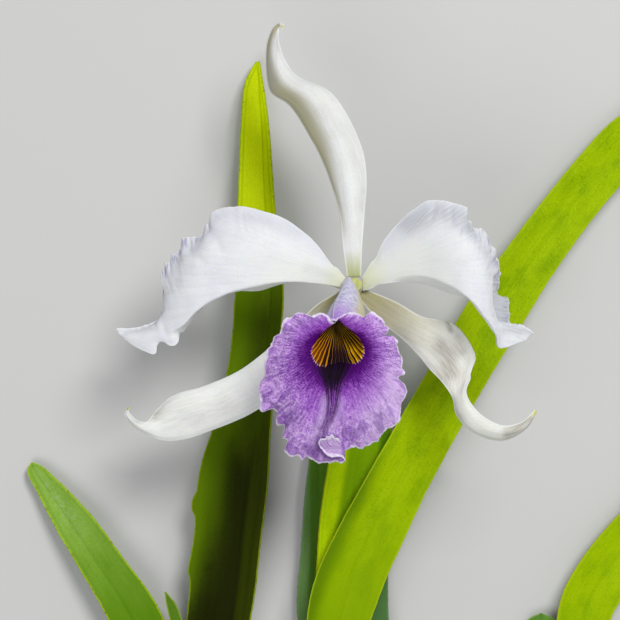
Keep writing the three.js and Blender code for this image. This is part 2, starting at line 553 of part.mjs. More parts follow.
// Each pseudobulb runs from its neck, under a leaf's foot, over its belly to the rhizome, where
// its foot stands at x.
const BULBS = {
  left_low: {
    x: -86,
    places: [[-87, -216.4, -63], [-89.5, -231.5, -64.4], [-90.5, -267.5, -66.3], [-88, -304, -67]],
  },
  left_tall: {
    x: -59,
    places: [[-63.2, -205.6, -63], [-63.5, -222.5, -64.4], [-64, -263, -66.3], [-61, -301.5, -67]],
  },
  centre_front: {
    x: -31,
    places: [[-32.7, -216.5, -61.2], [-34.5, -231.5, -63], [-36, -267.5, -66.3], [-33, -303, -67]],
  },
  right_long: {
    x: -4,
    places: [[-9.5, -199.3, -54.2], [-9.2, -216.5, -57], [-8, -258, -63.5], [-5.5, -299, -67]],
  },
  centre_back: {
    x: 24.5,
    places: [[19, -222, -63], [20, -236, -64.4], [21.5, -270, -66.3], [23, -303, -67]],
  },
  right_short: {
    x: 69,
    places: [[79.2, -226, -64], [78.5, -238.5, -65], [75, -270.5, -66.4], [70.5, -304, -67]],
  },
  right_low: {
    x: 96,
    places: [[104.5, -211, -63], [105.5, -225, -64.4], [104, -263, -66.3], [98.5, -301.5, -67]],
  },
};

function bulbFoot(x) {
  const { y, z } = rhizomeNear(x);
  return [x, y + RHIZOME_RADIUS * (1 + JOINT_SWELL) + GAP, z];
}

function bulbRadius(neck) {
  return (along, turn) => {
    const end = along < 0.5 ? neck : BULB_FOOT;
    const swell = Math.sin(Math.PI * along) ** 1.3;
    const rib = 1 + BULB_RIB * swell * Math.cos((BULB_SIDES / 2) * turn);
    return lerp(end, BULB_RADIUS, swell) * rib;
  };
}
for (const [name, { places, x }] of Object.entries(BULBS)) {
  const path = smooth([...places, bulbFoot(x)].map(vector));
  const neck = name === "right_long" ? SHARED_NECK : BULB_NECK;
  add("pseudobulb_" + name, rod(path, 11, BULB_SIDES, bulbRadius(neck)), BULB_GREEN);
}

// ---------------------------------------------------------------- the plant on its table
plant.position.set(-MIDDLE[0], -MIDDLE[1], FLOWER_HEIGHT);
const orchid = new THREE.Group();
orchid.name = "cattleya_orchid";
orchid.add(plant);

export default orchid;
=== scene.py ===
import math

import bpy
import numpy as np
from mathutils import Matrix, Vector, noise


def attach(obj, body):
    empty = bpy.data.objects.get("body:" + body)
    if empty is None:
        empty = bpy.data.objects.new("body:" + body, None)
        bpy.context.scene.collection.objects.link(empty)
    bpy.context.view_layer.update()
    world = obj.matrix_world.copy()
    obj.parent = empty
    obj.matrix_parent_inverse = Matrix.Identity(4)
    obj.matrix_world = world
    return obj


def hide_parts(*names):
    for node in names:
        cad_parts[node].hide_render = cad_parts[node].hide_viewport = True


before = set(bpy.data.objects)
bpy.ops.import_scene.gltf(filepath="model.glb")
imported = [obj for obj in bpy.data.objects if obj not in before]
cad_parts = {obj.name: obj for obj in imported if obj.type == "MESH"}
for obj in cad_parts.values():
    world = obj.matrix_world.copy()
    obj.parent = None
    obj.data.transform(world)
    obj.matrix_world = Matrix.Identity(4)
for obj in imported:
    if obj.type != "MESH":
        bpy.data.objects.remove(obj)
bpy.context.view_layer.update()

# The looks of a cattleya orchid that lies on its back. Every point is given in millimetres in the
# flower's own frame: x to its right, y towards the dorsal sepal, z out of its face.
FLOWER_HEIGHT = 75  # of the flower's centre above the table
MIDDLE = (8.44, -126.51)  # of the whole plant, seen from above
TABLE = -FLOWER_HEIGHT
SHIFT = np.array([-MIDDLE[0], -MIDDLE[1], FLOWER_HEIGHT])
MM = 0.001
TURN = 2 * math.pi
SEED_STEP = 13.7  # between the places where one seed's noise and the next one's are read
PATH_STEPS = 600
CORNER_STEPS = 14  # points of a drawn margin for each point that it is drawn with
MARGIN_REACH = 7  # how far a drawn margin may lie from the blade's own
END_RINGS = np.array([0.05, 0.35, 0.65, 0.88])  # of a rod's radius at its rounded ends
END_BULGE = 0.2


# ------------------------------------------------------------------ shapes
def ease(value, low, high):
    """0 below low, 1 above high and smooth in between."""
    share = np.clip((np.asarray(value, float) - low) / (high - low), 0, 1)
    return share * share * (3 - 2 * share)


def mix(low, high, share):
    return low + (high - low) * share


def bell(value, middle, width):
    return np.exp(-(((value - middle) / width) ** 2))


def shares(count):
    return np.linspace(0, 1, count)


def looked_up(value, rows, column=1):
    """What a column of rows says at value, which is found in their first column."""
    rows = np.array(rows, float)
    return np.interp(value, rows[:, 0], rows[:, column])


def smoothed(values, width):
    """Each value as a weighted mean of the width values around it."""
    kernel = np.hanning(width) / np.hanning(width).sum()
    return np.convolve(np.pad(values, width // 2, mode="edge"), kernel, "valid")


def unit(vectors):
    return vectors / np.maximum(np.linalg.norm(vectors, axis=-1, keepdims=True), 1e-9)


def lengths(points, axis=0):
    """Millimetres from the first point to each one along an axis."""
    steps = np.linalg.norm(np.diff(points, axis=axis), axis=-1)
    return np.cumsum(np.insert(steps, 0, 0, axis=axis), axis=axis)


def curve(points, steps):
    """A centripetal Catmull-Rom curve through points, taken at the shares in steps."""
    points = np.asarray(points, float)
    before = 2 * points[:1] - points[1:2]
    after = 2 * points[-1:] - points[-2:-1]
    padded = np.concatenate([before, points, after])
    place = np.asarray(steps, float) * (len(points) - 1)
    start = np.clip(np.floor(place).astype(int), 0, len(points) - 2)
    share = (place - start).reshape((-1,) + (1,) * (points.ndim - 1))
    a, b, c, d = (padded[start + k] for k in range(4))

    def gap(p, q):
        return np.maximum(((q - p) ** 2).sum(-1, keepdims=True), 1e-9) ** 0.25

    ab, bc, cd = gap(a, b), gap(b, c), gap(c, d)
    leave = ((b - a) / ab - (c - a) / (ab + bc) + (c - b) / bc) * bc
    arrive = ((c - b) / bc - (d - b) / (bc + cd) + (d - c) / cd) * bc
    square = 3 * (c - b) - 2 * leave - arrive
    cube = 2 * (b - c) + leave + arrive
    return b + share * (leave + share * (square + share * cube))


def rail_grid(rails, rows, columns, folded=0):
    """A grid of rows x columns through rails that run side by side. With folded, the strip between
    the first two rails is a sharp fold of that many more columns."""
    lines = np.stack([curve(rail, shares(rows)) for rail in rails])
    if not folded:
        return curve(lines, shares(columns)).transpose(1, 0, 2)
    face = curve(lines[1:], shares(columns))
    fold = mix(lines[0], lines[1], shares(folded + 1)[:-1, None, None])
    grid = np.concatenate([fold, face]).transpose(1, 0, 2)
    for _ in range(2):
        grid[:, 1:-1] = (grid[:, :-2] + 2 * grid[:, 1:-1] + grid[:, 2:]) / 4
    return grid


def directions(grid):
    """Unit vectors across the columns and out of the face that looks up."""
    across = unit(np.gradient(grid, axis=1))
    normal = unit(np.cross(across, unit(np.gradient(grid, axis=0))))
    return across, normal * np.sign(normal[..., 2].mean())


def grain(places, size, seed):
    """Smooth noise in -1..1 at places, whose waves are about size long. Places are points, or
    their first two coordinates as a pair of arrays."""
    if isinstance(places, tuple):
        places = np.stack(np.broadcast_arrays(*places, 0.0), axis=-1)
    flat = (places.reshape(-1, 3) / size + seed * SEED_STEP).tolist()
    return np.array([noise.noise(Vector(place)) for place in flat]).reshape(places.shape[:-1])


def line_distance(places, line):
    """Millimetres from each place to a line of straight steps, both in x and y."""
    line = np.asarray(line, float)
    nearest = np.full(places.shape[:-1], 1e9)
    for start, end in zip(line[:-1], line[1:]):
        way = end - start
        share = np.clip(((places[..., :2] - start) @ way) / (way @ way), 0, 1)[..., None]
        apart = np.linalg.norm(places[..., :2] - start - way * share, axis=-1)
        nearest = np.minimum(nearest, apart)
    return nearest


def creased(grid, creases):
    """How far each place is lifted by creases, each given as a line of x, y, a width, a height."""
    lift = np.zeros(grid.shape[:2])
    for line, width, height in creases:
        lift += height * bell(line_distance(grid, line), 0, width)
    return lift


def flat_cross(a, b):
    return a[..., 0] * b[..., 1] - a[..., 1] * b[..., 0]


def drawn_margin(grid, side, line):
    """A grid whose first (side 0) or last (side -1) column is moved in x and y to a drawn line.
    The nearer part of the blade follows its broad shape, and a narrow strip its lobes. Returns
    the grid and how far the lobes stand out."""
    margin, inner = grid[:, side, :2], grid[:, 2 if side == 0 else -3, :2]
    out = unit(margin - inner)
    corners = curve(line, shares(CORNER_STEPS * len(line)))
    way = np.diff(corners, axis=0)[None]
    apart = corners[:-1][None] - margin[:, None]
    steep = flat_cross(out[:, None], way)
    steep = np.where(np.abs(steep) < 1e-9, 1e-9, steep)
    reach = flat_cross(apart, way) / steep
    place = flat_cross(apart, out[:, None]) / steep
    hit = (place >= 0) & (place <= 1) & (np.abs(reach) < MARGIN_REACH)
    far = np.where(hit, np.abs(reach), np.inf)
    rows = np.arange(len(grid))
    moved = reach[rows, far.argmin(axis=1)]
    met = np.isfinite(far.min(axis=1))
    moved = np.interp(rows, rows[met], moved[met])
    first, last = rows[met][0], rows[met][-1]
    start = ease(rows, first - 1, first + 6) if first > 6 else 1
    end = 1 - ease(rows, last - 6, last + 1) if last < len(rows) - 6 else 1
    moved = smoothed(moved * start * end, 5)
    broad = smoothed(moved, 25)
    inward = shares(grid.shape[1])[None]
    inward = 1 - inward if side == -1 else inward
    shift = broad[:, None] * (1 - ease(inward, 0, 0.3)) ** 1.3
    shift += (moved - broad)[:, None] * (1 - ease(inward, 0, 0.13))
    placed = grid.copy()
    placed[..., :2] += out[:, None] * shift[..., None]
    return placed, moved - broad


def make_piece(name, points, faces, fields):
    """A mesh object from points in the flower's frame, with one float attribute a field."""
    mesh = bpy.data.meshes.new(name)
    mesh.from_pydata(((points + SHIFT) * MM).tolist(), [], faces)
    for field, values in fields.items():
        layer = mesh.attributes.new(field, "FLOAT", "POINT")
        layer.data.foreach_set("value", np.asarray(values, np.float32).ravel())
    mesh.shade_smooth()
    piece = bpy.data.objects.new(name, mesh)
    bpy.context.scene.collection.objects.link(piece)
    return piece


def turned_out(points, quads, rest=()):
    """The faces as lists, turned so that the volume that the quads enclose is positive."""
    a, b, c, d = (points[quads[:, k]] for k in range(4))
    volume = (a * np.cross(b, c)).sum() + (a * np.cross(c, d)).sum()
    faces = quads.tolist() + [list(face) for face in rest]
    return faces if volume > 0 else [face[::-1] for face in faces]


def four_cornered(*corners):
    """Faces whose four corners are given as arrays of point numbers."""
    return np.stack([corner.ravel() for corner in corners], axis=1)


def sheet(name, grid, thickness, fields):
    """A closed sheet on a grid. Its field "front" is 1 on the face that looks up, 0 on the other."""
    shape = grid.shape[:2]
    offset = directions(grid)[1] * np.broadcast_to(thickness, shape)[..., None] / 2
    points = np.concatenate([grid + offset, grid - offset]).reshape(-1, 3)
    faces, rims = [], []
    for side in np.arange(len(points)).reshape(2, *shape):
        faces.append(four_cornered(side[:-1, :-1], side[:-1, 1:], side[1:, 1:], side[1:, :-1]))
        rims.append(np.concatenate([side[0], side[1:, -1], side[-1, -2::-1], side[-2:0:-1, 0]]))
    front, back = rims
    border = four_cornered(np.roll(front, -1), front, back, np.roll(back, -1))
    faces = turned_out(points, np.concatenate([faces[0], faces[1][:, ::-1], border]))
    doubled = {field: np.stack([values] * 2) for field, values in fields.items()}
    doubled["front"] = np.stack([np.ones(shape), np.zeros(shape)])
    return make_piece(name, points, faces, doubled)


def even_path(points, rings):
    """Points at even steps along a curve, its directions, and two square to them at each."""
    steps = shares(PATH_STEPS)
    length = lengths(curve(points, steps))
    centres = curve(points, np.interp(np.linspace(0, length[-1], rings), length, steps))
    tangents = unit(np.gradient(centres, axis=0))
    side = unit(np.cross(tangents[0], [0, 0, 1]))
    sides = []
    for tangent in tangents:
        side = unit(side - tangent * (side @ tangent))
        sides.append(side)
    sides = np.array(sides)
    return centres, tangents, sides, np.cross(tangents, sides)


def tube(places):
    """Points and faces of a closed tube: each row of places is a ring of it."""
    index = np.arange(places[..., 0].size).reshape(places.shape[:2])
    following = np.roll(index, -1, axis=1)
    walls = four_cornered(index[:-1], following[:-1], following[1:], index[1:])
    points = places.reshape(-1, 3)
    return points, turned_out(points, walls, [index[0][::-1].tolist(), index[-1].tolist()])


def rod_mesh(points, rings, sides, radius_at):
    """Points, faces and fields of a closed rod with round ends; nothing of it is below the
    table."""
    centres, tangents, right, up = even_path(points, rings)
    along, turn = np.meshgrid(shares(rings), np.arange(sides) * TURN / sides, indexing="ij")
    radius = radius_at(along, turn)[..., None]
    ring = np.cos(turn)[..., None] * right[:, None] + np.sin(turn)[..., None] * up[:, None]
    body = centres[:, None] + ring * radius
    ends = []
    for end, sign in ((0, -1), (-1, 1)):
        swell = sign * END_BULGE * radius[end].mean() * tangents[end]
        share = END_RINGS[::-sign, None, None]
        ends.append(mix(centres[end], body[end], share) + swell * (1 - share**2))
    places = np.concatenate([ends[0], body, ends[1]])
    places[..., 2] = np.maximum(places[..., 2], TABLE)
    more = ((len(END_RINGS), len(END_RINGS)), (0, 0))
    fields = {"along": np.pad(along, more, mode="edge"), "turn": np.pad(turn, more, mode="edge")}
    return *tube(places), fields


def rod(name, *form):
    return make_piece(name, *rod_mesh(*form))


def dress(piece, paint, node):
    """Gives a piece its material and its body, and hides the solid that it stands for."""
    piece.data.materials.append(paint)
    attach(piece, "root")
    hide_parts(node)


# ------------------------------------------------------------------ materials
def tint(colour):
    """A colour given as 0 to 255 a channel, as Blender takes it."""
    parts = [channel / 255 for channel in colour]
    linear = [s / 12.92 if s <= 0.04045 else ((s + 0.055) / 1.055) ** 2.4 for s in parts]
    return (*linear, 1)


class Wire:
    """A node's output in a paint. Arithmetic with it makes Math nodes."""

    def __init__(self, paint, socket):
        self.paint = paint
        self.socket = socket

    def math(self, operation, other=0):
        return self.paint.node("Math", {0: self, 1: other}, operation=operation)

    def __add__(self, other):
        return self.math("ADD", other)

    def __mul__(self, other):
        return self.math("MULTIPLY", other)

    def __sub__(self, other):
        return self.math("SUBTRACT", other)

    def __abs__(self):
        return self.math("ABSOLUTE")

    def rise(self, low, high, start=0, end=1):
        """Start where the value is low, end where it is high, and smooth in between."""
        values = {"Value": self, "From Min": low, "From Max": high, "To Min": start, "To Max": end}
        return self.paint.node("MapRange", values, interpolation_type="SMOOTHSTEP")


class Paint:
    """One procedural material, built node by node. Wires and numbers may be mixed freely, and
    colours are wires or 0 to 255 a channel."""

    def __init__(self, name, roughness, specular=0.4, sheen=0, soft=0, reach=0.001):
        self.material = bpy.data.materials.new(name)
        self.material.use_nodes = True
        self.tree = self.material.node_tree
        self.shader = self.tree.nodes["Principled BSDF"].inputs
        self.normal = None
        self.colour = None
        constants = {
            "Roughness": roughness, "Specular IOR Level": specular, "Sheen Weight": sheen,
            "Subsurface Weight": soft, "Subsurface Scale": reach,
            "Subsurface Radius": (1, 0.8, 0.6),
        }
        for socket, value in constants.items():
            self.plug(self.shader[socket], value)

    def plug(self, socket, value):
        if isinstance(value, Wire):
            self.tree.links.new(value.socket, socket)
        else:
            socket.default_value = value

    def node(self, kind, values, output=0, **settings):
        made = self.tree.nodes.new("ShaderNode" + kind)
        for setting, value in settings.items():
            setattr(made, setting, value)
        for socket, value in values.items():
            self.plug(made.inputs[socket], value)
        return Wire(self, made.outputs[output])

    def fields(self, *names):
        """The mesh's fields of those names."""
        return [self.node("Attribute", {}, output="Fac", attribute_name=name) for name in names]

    def place(self):
        """The point's place in millimetres."""
        found = self.node("TexCoord", {}, output="Object")
        return self.node("VectorMath", {0: found, 1: (1000, 1000, 1000)}, operation="MULTIPLY")

    def noise(self, places, scale=1, detail=2, rough=0.5, twist=0):
        """Noise at a wire's place, or at two or three wires or numbers taken as one."""
        if isinstance(places, tuple):
            places = self.node("CombineXYZ", dict(enumerate(places)))
        values = {"Vector": places, "Scale": scale, "Detail": detail, "Roughness": rough}
        return self.node("TexNoise", {**values, "Distortion": twist})

    def blend(self, share, low, high):
        low, high = (tone if isinstance(tone, Wire) else tint(tone) for tone in (low, high))
        values = {"Factor": share, 6: low, 7: high}
        return self.node("Mix", values, output=2, data_type="RGBA")

    def coat(self, share, tone):
        """Lays a colour over what is there, as thick as share says."""
        self.colour = self.blend(share, self.colour, tone)

    def bump(self, height, distance):
        """Raises the surface by height times distance, which is in millimetres."""
        values = {"Height": height, "Distance": distance * MM, "Strength": 1}
        if self.normal:
            values["Normal"] = self.normal
        self.normal = self.node("Bump", values)

    def finish(self, roughness=None):
        self.plug(self.shader["Base Color"], self.colour)
        if self.normal:
            self.plug(self.shader["Normal"], self.normal)
        if roughness:
            self.plug(self.shader["Roughness"], roughness)
        return self.material


# Lilac of the frill lines: partly the margins' own tint, partly painted shade of their folds.
FRILL_LILAC_AND_SHADE = (158, 152, 190)
PALE_MARGIN = (246, 246, 248)


def tepal_paint(
    name, face, shade, shade_tone, base, base_reach, tip=None, side=None, folded_back_light=None, warm=None,
):
    """White or cream petal tissue: fine crystalline cells and faint veins from base to tip.
    Shade_tone is the colour of patches of painted shade, side of painted shade in a strip by the
    first margin, folded_back_light of painted light on the half that is folded back, and warm of the
    middle near the base. With folded_back_light the upper part gets painted shade too, and the frills
    get lilac lines that are partly their tint and partly painted shade of their folds."""
    paint = Paint(name, roughness=0.6, specular=0.2, sheen=0.05, soft=0.3, reach=0.0012)
    along, across, edge, ray = paint.fields("along", "across", "edge", "ray")
    length, painted_shade = paint.fields("length", "painted_shade")
    place = paint.place()
    veins = paint.noise((ray, length * 0.05), detail=3)
    vein_share = veins.rise(0.4, 0.66)
    cloud = paint.noise(place, 0.1, 3).rise(0.35, 0.68)
    cells = paint.noise(place, 1.5, 3, 0.7)
    share = vein_share * 0.25 + cloud * 0.35 + cells.rise(0.35, 0.65, -0.1, 0.25)
    paint.colour = paint.blend(share, face, shade)
    if folded_back_light:
        # painted shade: the upper part of the face made greyer
        paint.coat(across.rise(0.7, 1, 0, 0.45), shade)
        # painted light: the half that is folded back made lighter than the face
        fold = across.rise(0.335, 0.31) * vein_share.rise(0, 1, 0.65, 1)
        paint.coat(fold * along.rise(0.85, 0.7), folded_back_light)
        # lilac lines in the frills: partly their own tint, partly painted shade of their folds
        frill_tint_and_shade = paint.noise((along * 75, edge * 0.14, 2)).rise(0.5, 0.38) * edge.rise(7.5, 1.5)
        frill_tint_and_shade = frill_tint_and_shade * across.rise(0.6, 0.75) * along.rise(0.42, 0.52) * along.rise(0.92, 0.82)
        paint.coat(frill_tint_and_shade * 0.7, FRILL_LILAC_AND_SHADE)
    if side:
        # painted shade: a strip beside the first margin, where it rolls back
        limit = along.rise(0.15, 0.5, 0.08, 0.4) + along.rise(0.6, 0.82, 0, 0.34)
        beyond = across - limit
        side_shade = beyond.rise(0.2, -0.16) * beyond.rise(-0.6, -0.25, 0.35, 1)
        paint.coat(side_shade * along.rise(0.08, 0.2) * along.rise(0.95, 0.8) * 0.85, side)
    if warm:
        paint.coat(along.rise(0.52, 0.12, 0, 0.85) * across.rise(0.95, 0.45), warm)
    paint.coat(along.rise(base_reach, 0) * veins.rise(0.25, 0.6, 0.85, 1), base)
    # painted shade: greyer, mottled patches where the painted shade field is set
    shade_mottle = paint.noise((ray * 1.5, length * 0.12), detail=3)
    paint.coat((painted_shade * shade_mottle.rise(0.36, 0.62, 1, 0.7)).rise(0, 1), shade_tone)
    if tip:
        start, tone = tip
        paint.coat(along.rise(start, start + 0.03), tone)
    paint.coat(edge.rise(0.8, 0.2, 0, 0.6), PALE_MARGIN)
    paint.bump(cells, 0.14)
    paint.bump(vein_share, -0.03)
    return paint.finish(cells.rise(0.3, 0.7, 0.48, 0.66))


# ------------------------------------------------------------------ sepals and petals
# Rails run from the flower's centre to the tip: one margin, the midline, the other margin.
DORSAL_SEPAL = [
    [[-3.4, 1.2, -1.3], [-5, 13.5, 0.5], [-6.5, 27.5, 0], [-11, 42.5, -2], [-17.5, 57.5, -5],
     [-28, 74, -9], [-36, 80.5, -14], [-38, 91.5, -16], [-37.5, 102.5, -17], [-35, 108.2, -16],
     [-32, 110.2, -14.5], [-30, 109, -13.5], [-30.6, 106.8, -12.8]],
    [[-0.4, 1.2, -1.7], [-1, 14, 1.5], [-1.5, 27.5, 3.5], [-3, 42, 4], [-6.5, 57, 2],
     [-18.5, 76.5, -2.5], [-29.5, 84.5, -8], [-34, 93, -12], [-34.5, 102.5, -14.5],
     [-33, 107.5, -14.5], [-32, 108.9, -13.4], [-31.1, 108.3, -12.9], [-30.8, 106.8, -12.6]],
    [[2.6, 1.2, -1.3], [3, 14.5, 0.8], [4, 27.5, 1.5], [5, 43, 1.5], [2.5, 57.5, -0.5],
     [-10, 79.5, -5], [-24, 87, -11], [-29.5, 94.5, -14], [-32, 102.5, -15.5],
     [-32, 106.8, -14.5], [-31.9, 107.8, -13.4], [-31.5, 107.6, -12.8], [-31, 106.9, -12.5]],
]
LEFT_LATERAL_SEPAL = [
    [[-4.6, -3.4, -2.6], [-17, -11, -4], [-25, -19.5, -6], [-36, -28.5, -9], [-49.5, -38.5, -12],
     [-64.5, -45, -14], [-78, -49, -16], [-83.5, -54, -15], [-88, -60, -11], [-92, -60, -9],
     [-96, -56, -9], [-95.5, -54, -8]],
    [[-3.4, -5.4, -2.9], [-14, -13.5, -4.5], [-21.5, -23.5, -6], [-34.5, -36.5, -8],
     [-48.5, -48, -10], [-63, -54.5, -11], [-75, -59, -12], [-83.5, -61.5, -12],
     [-89, -62.5, -11], [-94.5, -60, -10.5], [-96.8, -56.5, -10], [-96.1, -54, -8.5]],
    [[-1.9, -7, -2.6], [-9, -16, -4], [-15.5, -27, -6], [-27, -44.5, -9], [-44.5, -57, -12],
     [-60.5, -64, -15], [-72, -68, -16], [-81.5, -68.5, -15], [-89, -65.5, -13],
     [-95.5, -61.5, -12], [-98, -57, -11], [-96.7, -54, -9]],
]
RIGHT_LATERAL_SEPAL = [
    [[3.4, -3.4, -2.6], [17, -9, -4], [29, -15.5, -6], [40.5, -17.5, -7], [47.5, -24, -6],
     [50.5, -31.5, -5], [48.5, -40.5, -3], [46.5, -46.5, 0], [48, -51, 2], [54, -57.5, 3],
     [62, -61, 3], [69.5, -59.5, 3], [75.3, -54.5, 3]],
    [[2.2, -5.4, -2.9], [13.5, -13.5, -4], [23.5, -21.5, -5], [33.5, -27.5, -6.5],
     [39.5, -34, -7], [43.5, -39.5, -6.5], [44, -45, -4.5], [44, -49.5, -1.5], [45.5, -55, 0.5],
     [52, -61.5, 1.5], [61.5, -64, 2], [70.5, -62, 2.5], [76, -55, 2.5]],
    [[0.7, -7, -2.6], [10, -17, -4], [19, -24, -6], [27, -32, -7], [32, -38, -7],
     [36, -42, -6], [39, -46, -5], [41, -50, -4], [42.5, -57, -3], [49, -64, -2],
     [61, -68, -2], [72, -63, 0], [76.7, -55.4, 2]],
]
# A petal's rails: the margin that is folded back, the crest, the face and the upper margin.
LEFT_PETAL = [
    [[-4.4, -4.6, -0.2], [-15.5, -0.8, -4], [-28.5, -0.9, -8], [-41, -4.4, -10], [-51.5, -4, -14],
     [-62, -9, -14], [-70, -18.5, -8], [-76.5, -26.5, -4], [-85, -30.5, -5], [-99, -23.5, -9]],
    [[-4.4, -3, 0.4], [-16.5, -1.3, 2], [-29.5, -0.7, 4], [-43, -2.8, 6], [-55.5, -6.5, 6],
     [-66, -12.5, 4], [-72.5, -19, 1], [-79, -22, -2], [-88, -25, -5], [-100, -22.5, -9]],
    [[-4.4, -1.2, 0.6], [-15, 6, 3], [-28.5, 11.5, 6], [-42, 14, 8], [-57, 12.5, 7],
     [-70.5, 1, 3], [-77, -8.5, -1], [-81.5, -17.5, -4], [-90, -22.5, -7], [-100.5, -21.5, -9.5]],
    [[-4.1, 0.9, 0.5], [-13.5, 12, 2], [-27.5, 24.2, 4], [-42, 29.6, 4], [-57.5, 29.4, 1],
     [-71.5, 17, -4], [-80.5, 5, -8], [-81, -10.5, -9], [-89.5, -19.5, -9], [-101.2, -20.8, -10]],
]
RIGHT_PETAL = [
    [[3.2, -4.6, -0.2], [15, -1.4, 3], [26, -1.4, 5.5], [37, -4.8, 8.5], [46, -7.2, 12.5],
     [54, -9, 9], [58, -13, 8.5], [60.5, -17.5, 8.5], [61.5, -24, 9], [61.5, -27.5, 11],
     [71.5, -24.5, 10]],
    [[3.2, -3, 0.4], [16, 1, 4], [26.5, 2, 10], [36.5, -1, 16], [44, -5.6, 20],
     [50, -11.5, 21], [52.5, -15, 20], [56, -19, 18], [58.5, -24, 16], [59.5, -28, 13.5],
     [71, -25, 11]],
    [[3.2, -1.2, 0.6], [14.5, 8, 5], [24, 15.5, 11], [35, 17.5, 17], [45, 13.5, 20], [52, 6, 20],
     [55.5, -1, 18], [57, -8.5, 15.5], [60.5, -17.5, 13.5], [66, -22.5, 12], [72.5, -23, 10.5]],
    [[2.9, 0.9, 0.5], [12, 16.2, 4], [20.5, 26.4, 8], [31.5, 32.4, 12], [44.5, 30.3, 14],
     [53.5, 18, 13], [61, 1, 9], [65, -8.5, 6], [66, -16.8, 7], [69.5, -19.2, 8],
     [74.2, -22.3, 9]],
]
RAY_SPREAD = 42  # mm from the flower's centre at which the petals' veins are 1 mm apart
SEPAL_GRID = (220, 42)  # rows and columns
PETAL_GRID = (330, 66, 32)  # rows, columns of the face and of the part that is folded back
MARGIN_THICKNESS = 0.3
SEPAL_THICKNESS = 0.85
PETAL_THICKNESS = 0.75


def blade_fields(grid):
    """Along and across as shares, and in millimetres the length along, how near each place is to
    the first margin and its distance from the closest edge."""
    rows, columns = grid.shape[:2]
    along, across = np.meshgrid(shares(rows), shares(columns), indexing="ij")
    near = lengths(grid, 1)
    length = lengths(grid[:, columns // 2])[:, None] + 0 * near
    edge = np.minimum(near, near[:, -1:] - near)
    return {"along": along, "across": across, "length": length, "edge": edge, "near": near}


def wrinkles(fields, seed, height, size):
    """Fine creases that run from base to tip."""
    lines = (fields["ray"] / size, fields["length"] / (size * 7))
    away = ease(fields["along"], 0.05, 0.25) * (1 - ease(fields["along"], 0.9, 1))
    return height * away * (grain(lines, 1, seed) + 0.5 * grain(lines, 0.45, seed + 1))


def sepal(name, rails, seed, fold=None, creases=(), shade_patches=()):
    """A sepal, whose margins roll back a little. Fold is a drawn first margin, and shade_patches are
    patches of painted shade."""
    grid = rail_grid(rails, *SEPAL_GRID)
    if fold:
        grid = drawn_margin(grid, 0, fold)[0]
    fields = blade_fields(grid)
    fields["ray"] = fields["near"] - fields["near"][:, -1:] / 2
    roll = -0.5 * (1 - ease(fields["edge"], 0, 2.5)) * ease(fields["along"], 0.1, 0.3)
    waver = grain(grid, 9, seed) * 0.35 * ease(fields["along"], 0.15, 0.4)
    lift = roll + waver + wrinkles(fields, seed, 0.07, 1.8) + creased(grid, creases)
    # painted shade in the patches
    fields["painted_shade"] = creased(grid, shade_patches)
    grid = grid + directions(grid)[1] * lift[..., None]
    full = ease(fields["edge"], 0, 3.5)
    return sheet(name, grid, mix(MARGIN_THICKNESS, SEPAL_THICKNESS, full), fields)


def petal(name, rails, seed, ruffle, tail, creases, shade_patches, tucked=None):
    """A petal whose ruffled upper margin and tail follow drawn lines. The lobes stand up from the
    face with pleats below them, and those to the right of the line tucked lie behind the others, with
    painted shade on them. Shade_patches are patches of painted shade."""
    grid, lobes = drawn_margin(rail_grid(rails, *PETAL_GRID), -1, ruffle)
    grid = drawn_margin(grid, 0, tail)[0]
    fields = blade_fields(grid)
    along, across = fields["along"], fields["across"]
    fields["ray"] = RAY_SPREAD * np.arctan2(grid[..., 1], np.abs(grid[..., 0]))
    # painted shade in the patches
    fields["painted_shade"] = creased(grid, shade_patches)
    spread = ease(along, 0.2, 0.42) * (1 - ease(along, 0.9, 0.98))
    slant = along + 0.05 * (1 - across)
    pleats = 0.65 * grain((slant * 20, across * 0.8), 1, seed)
    pleats += 0.45 * grain((slant * 58, across * 1.4), 1, seed + 5)
    raised = smoothed(lobes, 7)[:, None]
    lift = pleats * spread * ease(across, 0.45, 1) ** 1.4 + 0.3 * raised * ease(across, 0.8, 0.96)
    lift += 0.18 * grain(grid, 6, seed + 2) * ease(along, 0.15, 0.4)
    lift += 0.3 * (1 - ease(across, 0, 0.22)) * grain(grid, 7, seed + 8)
    lift += wrinkles(fields, seed, 0.08, 2.2) + creased(grid, creases)
    if tucked:
        x, y = grid[..., 0], grid[..., 1]
        foot = tucked[0][0]
        low = ease(y, foot, foot + 2) * (1 - ease(y, 1.8, 2.8))
        behind = ease(x - looked_up(y, tucked), -0.2, 0.3) * low * (across > 0.6)
        # painted shade on the lobes that lie behind the others
        fields["painted_shade"] = np.maximum(fields["painted_shade"], 0.6 * behind)
        lift -= 1.7 * behind
    crenate = grain((fields["length"] / 0.9, 0), 1, seed + 3)
    teeth = 0.55 * np.abs(crenate) * ease(across, 0.93, 1) * spread
    toward, normal = directions(grid)
    grid = grid + toward * teeth[..., None] + normal * lift[..., None]
    full = ease(fields["edge"], 0, 3.5)
    return sheet(name, grid, mix(MARGIN_THICKNESS, PETAL_THICKNESS, full), fields)


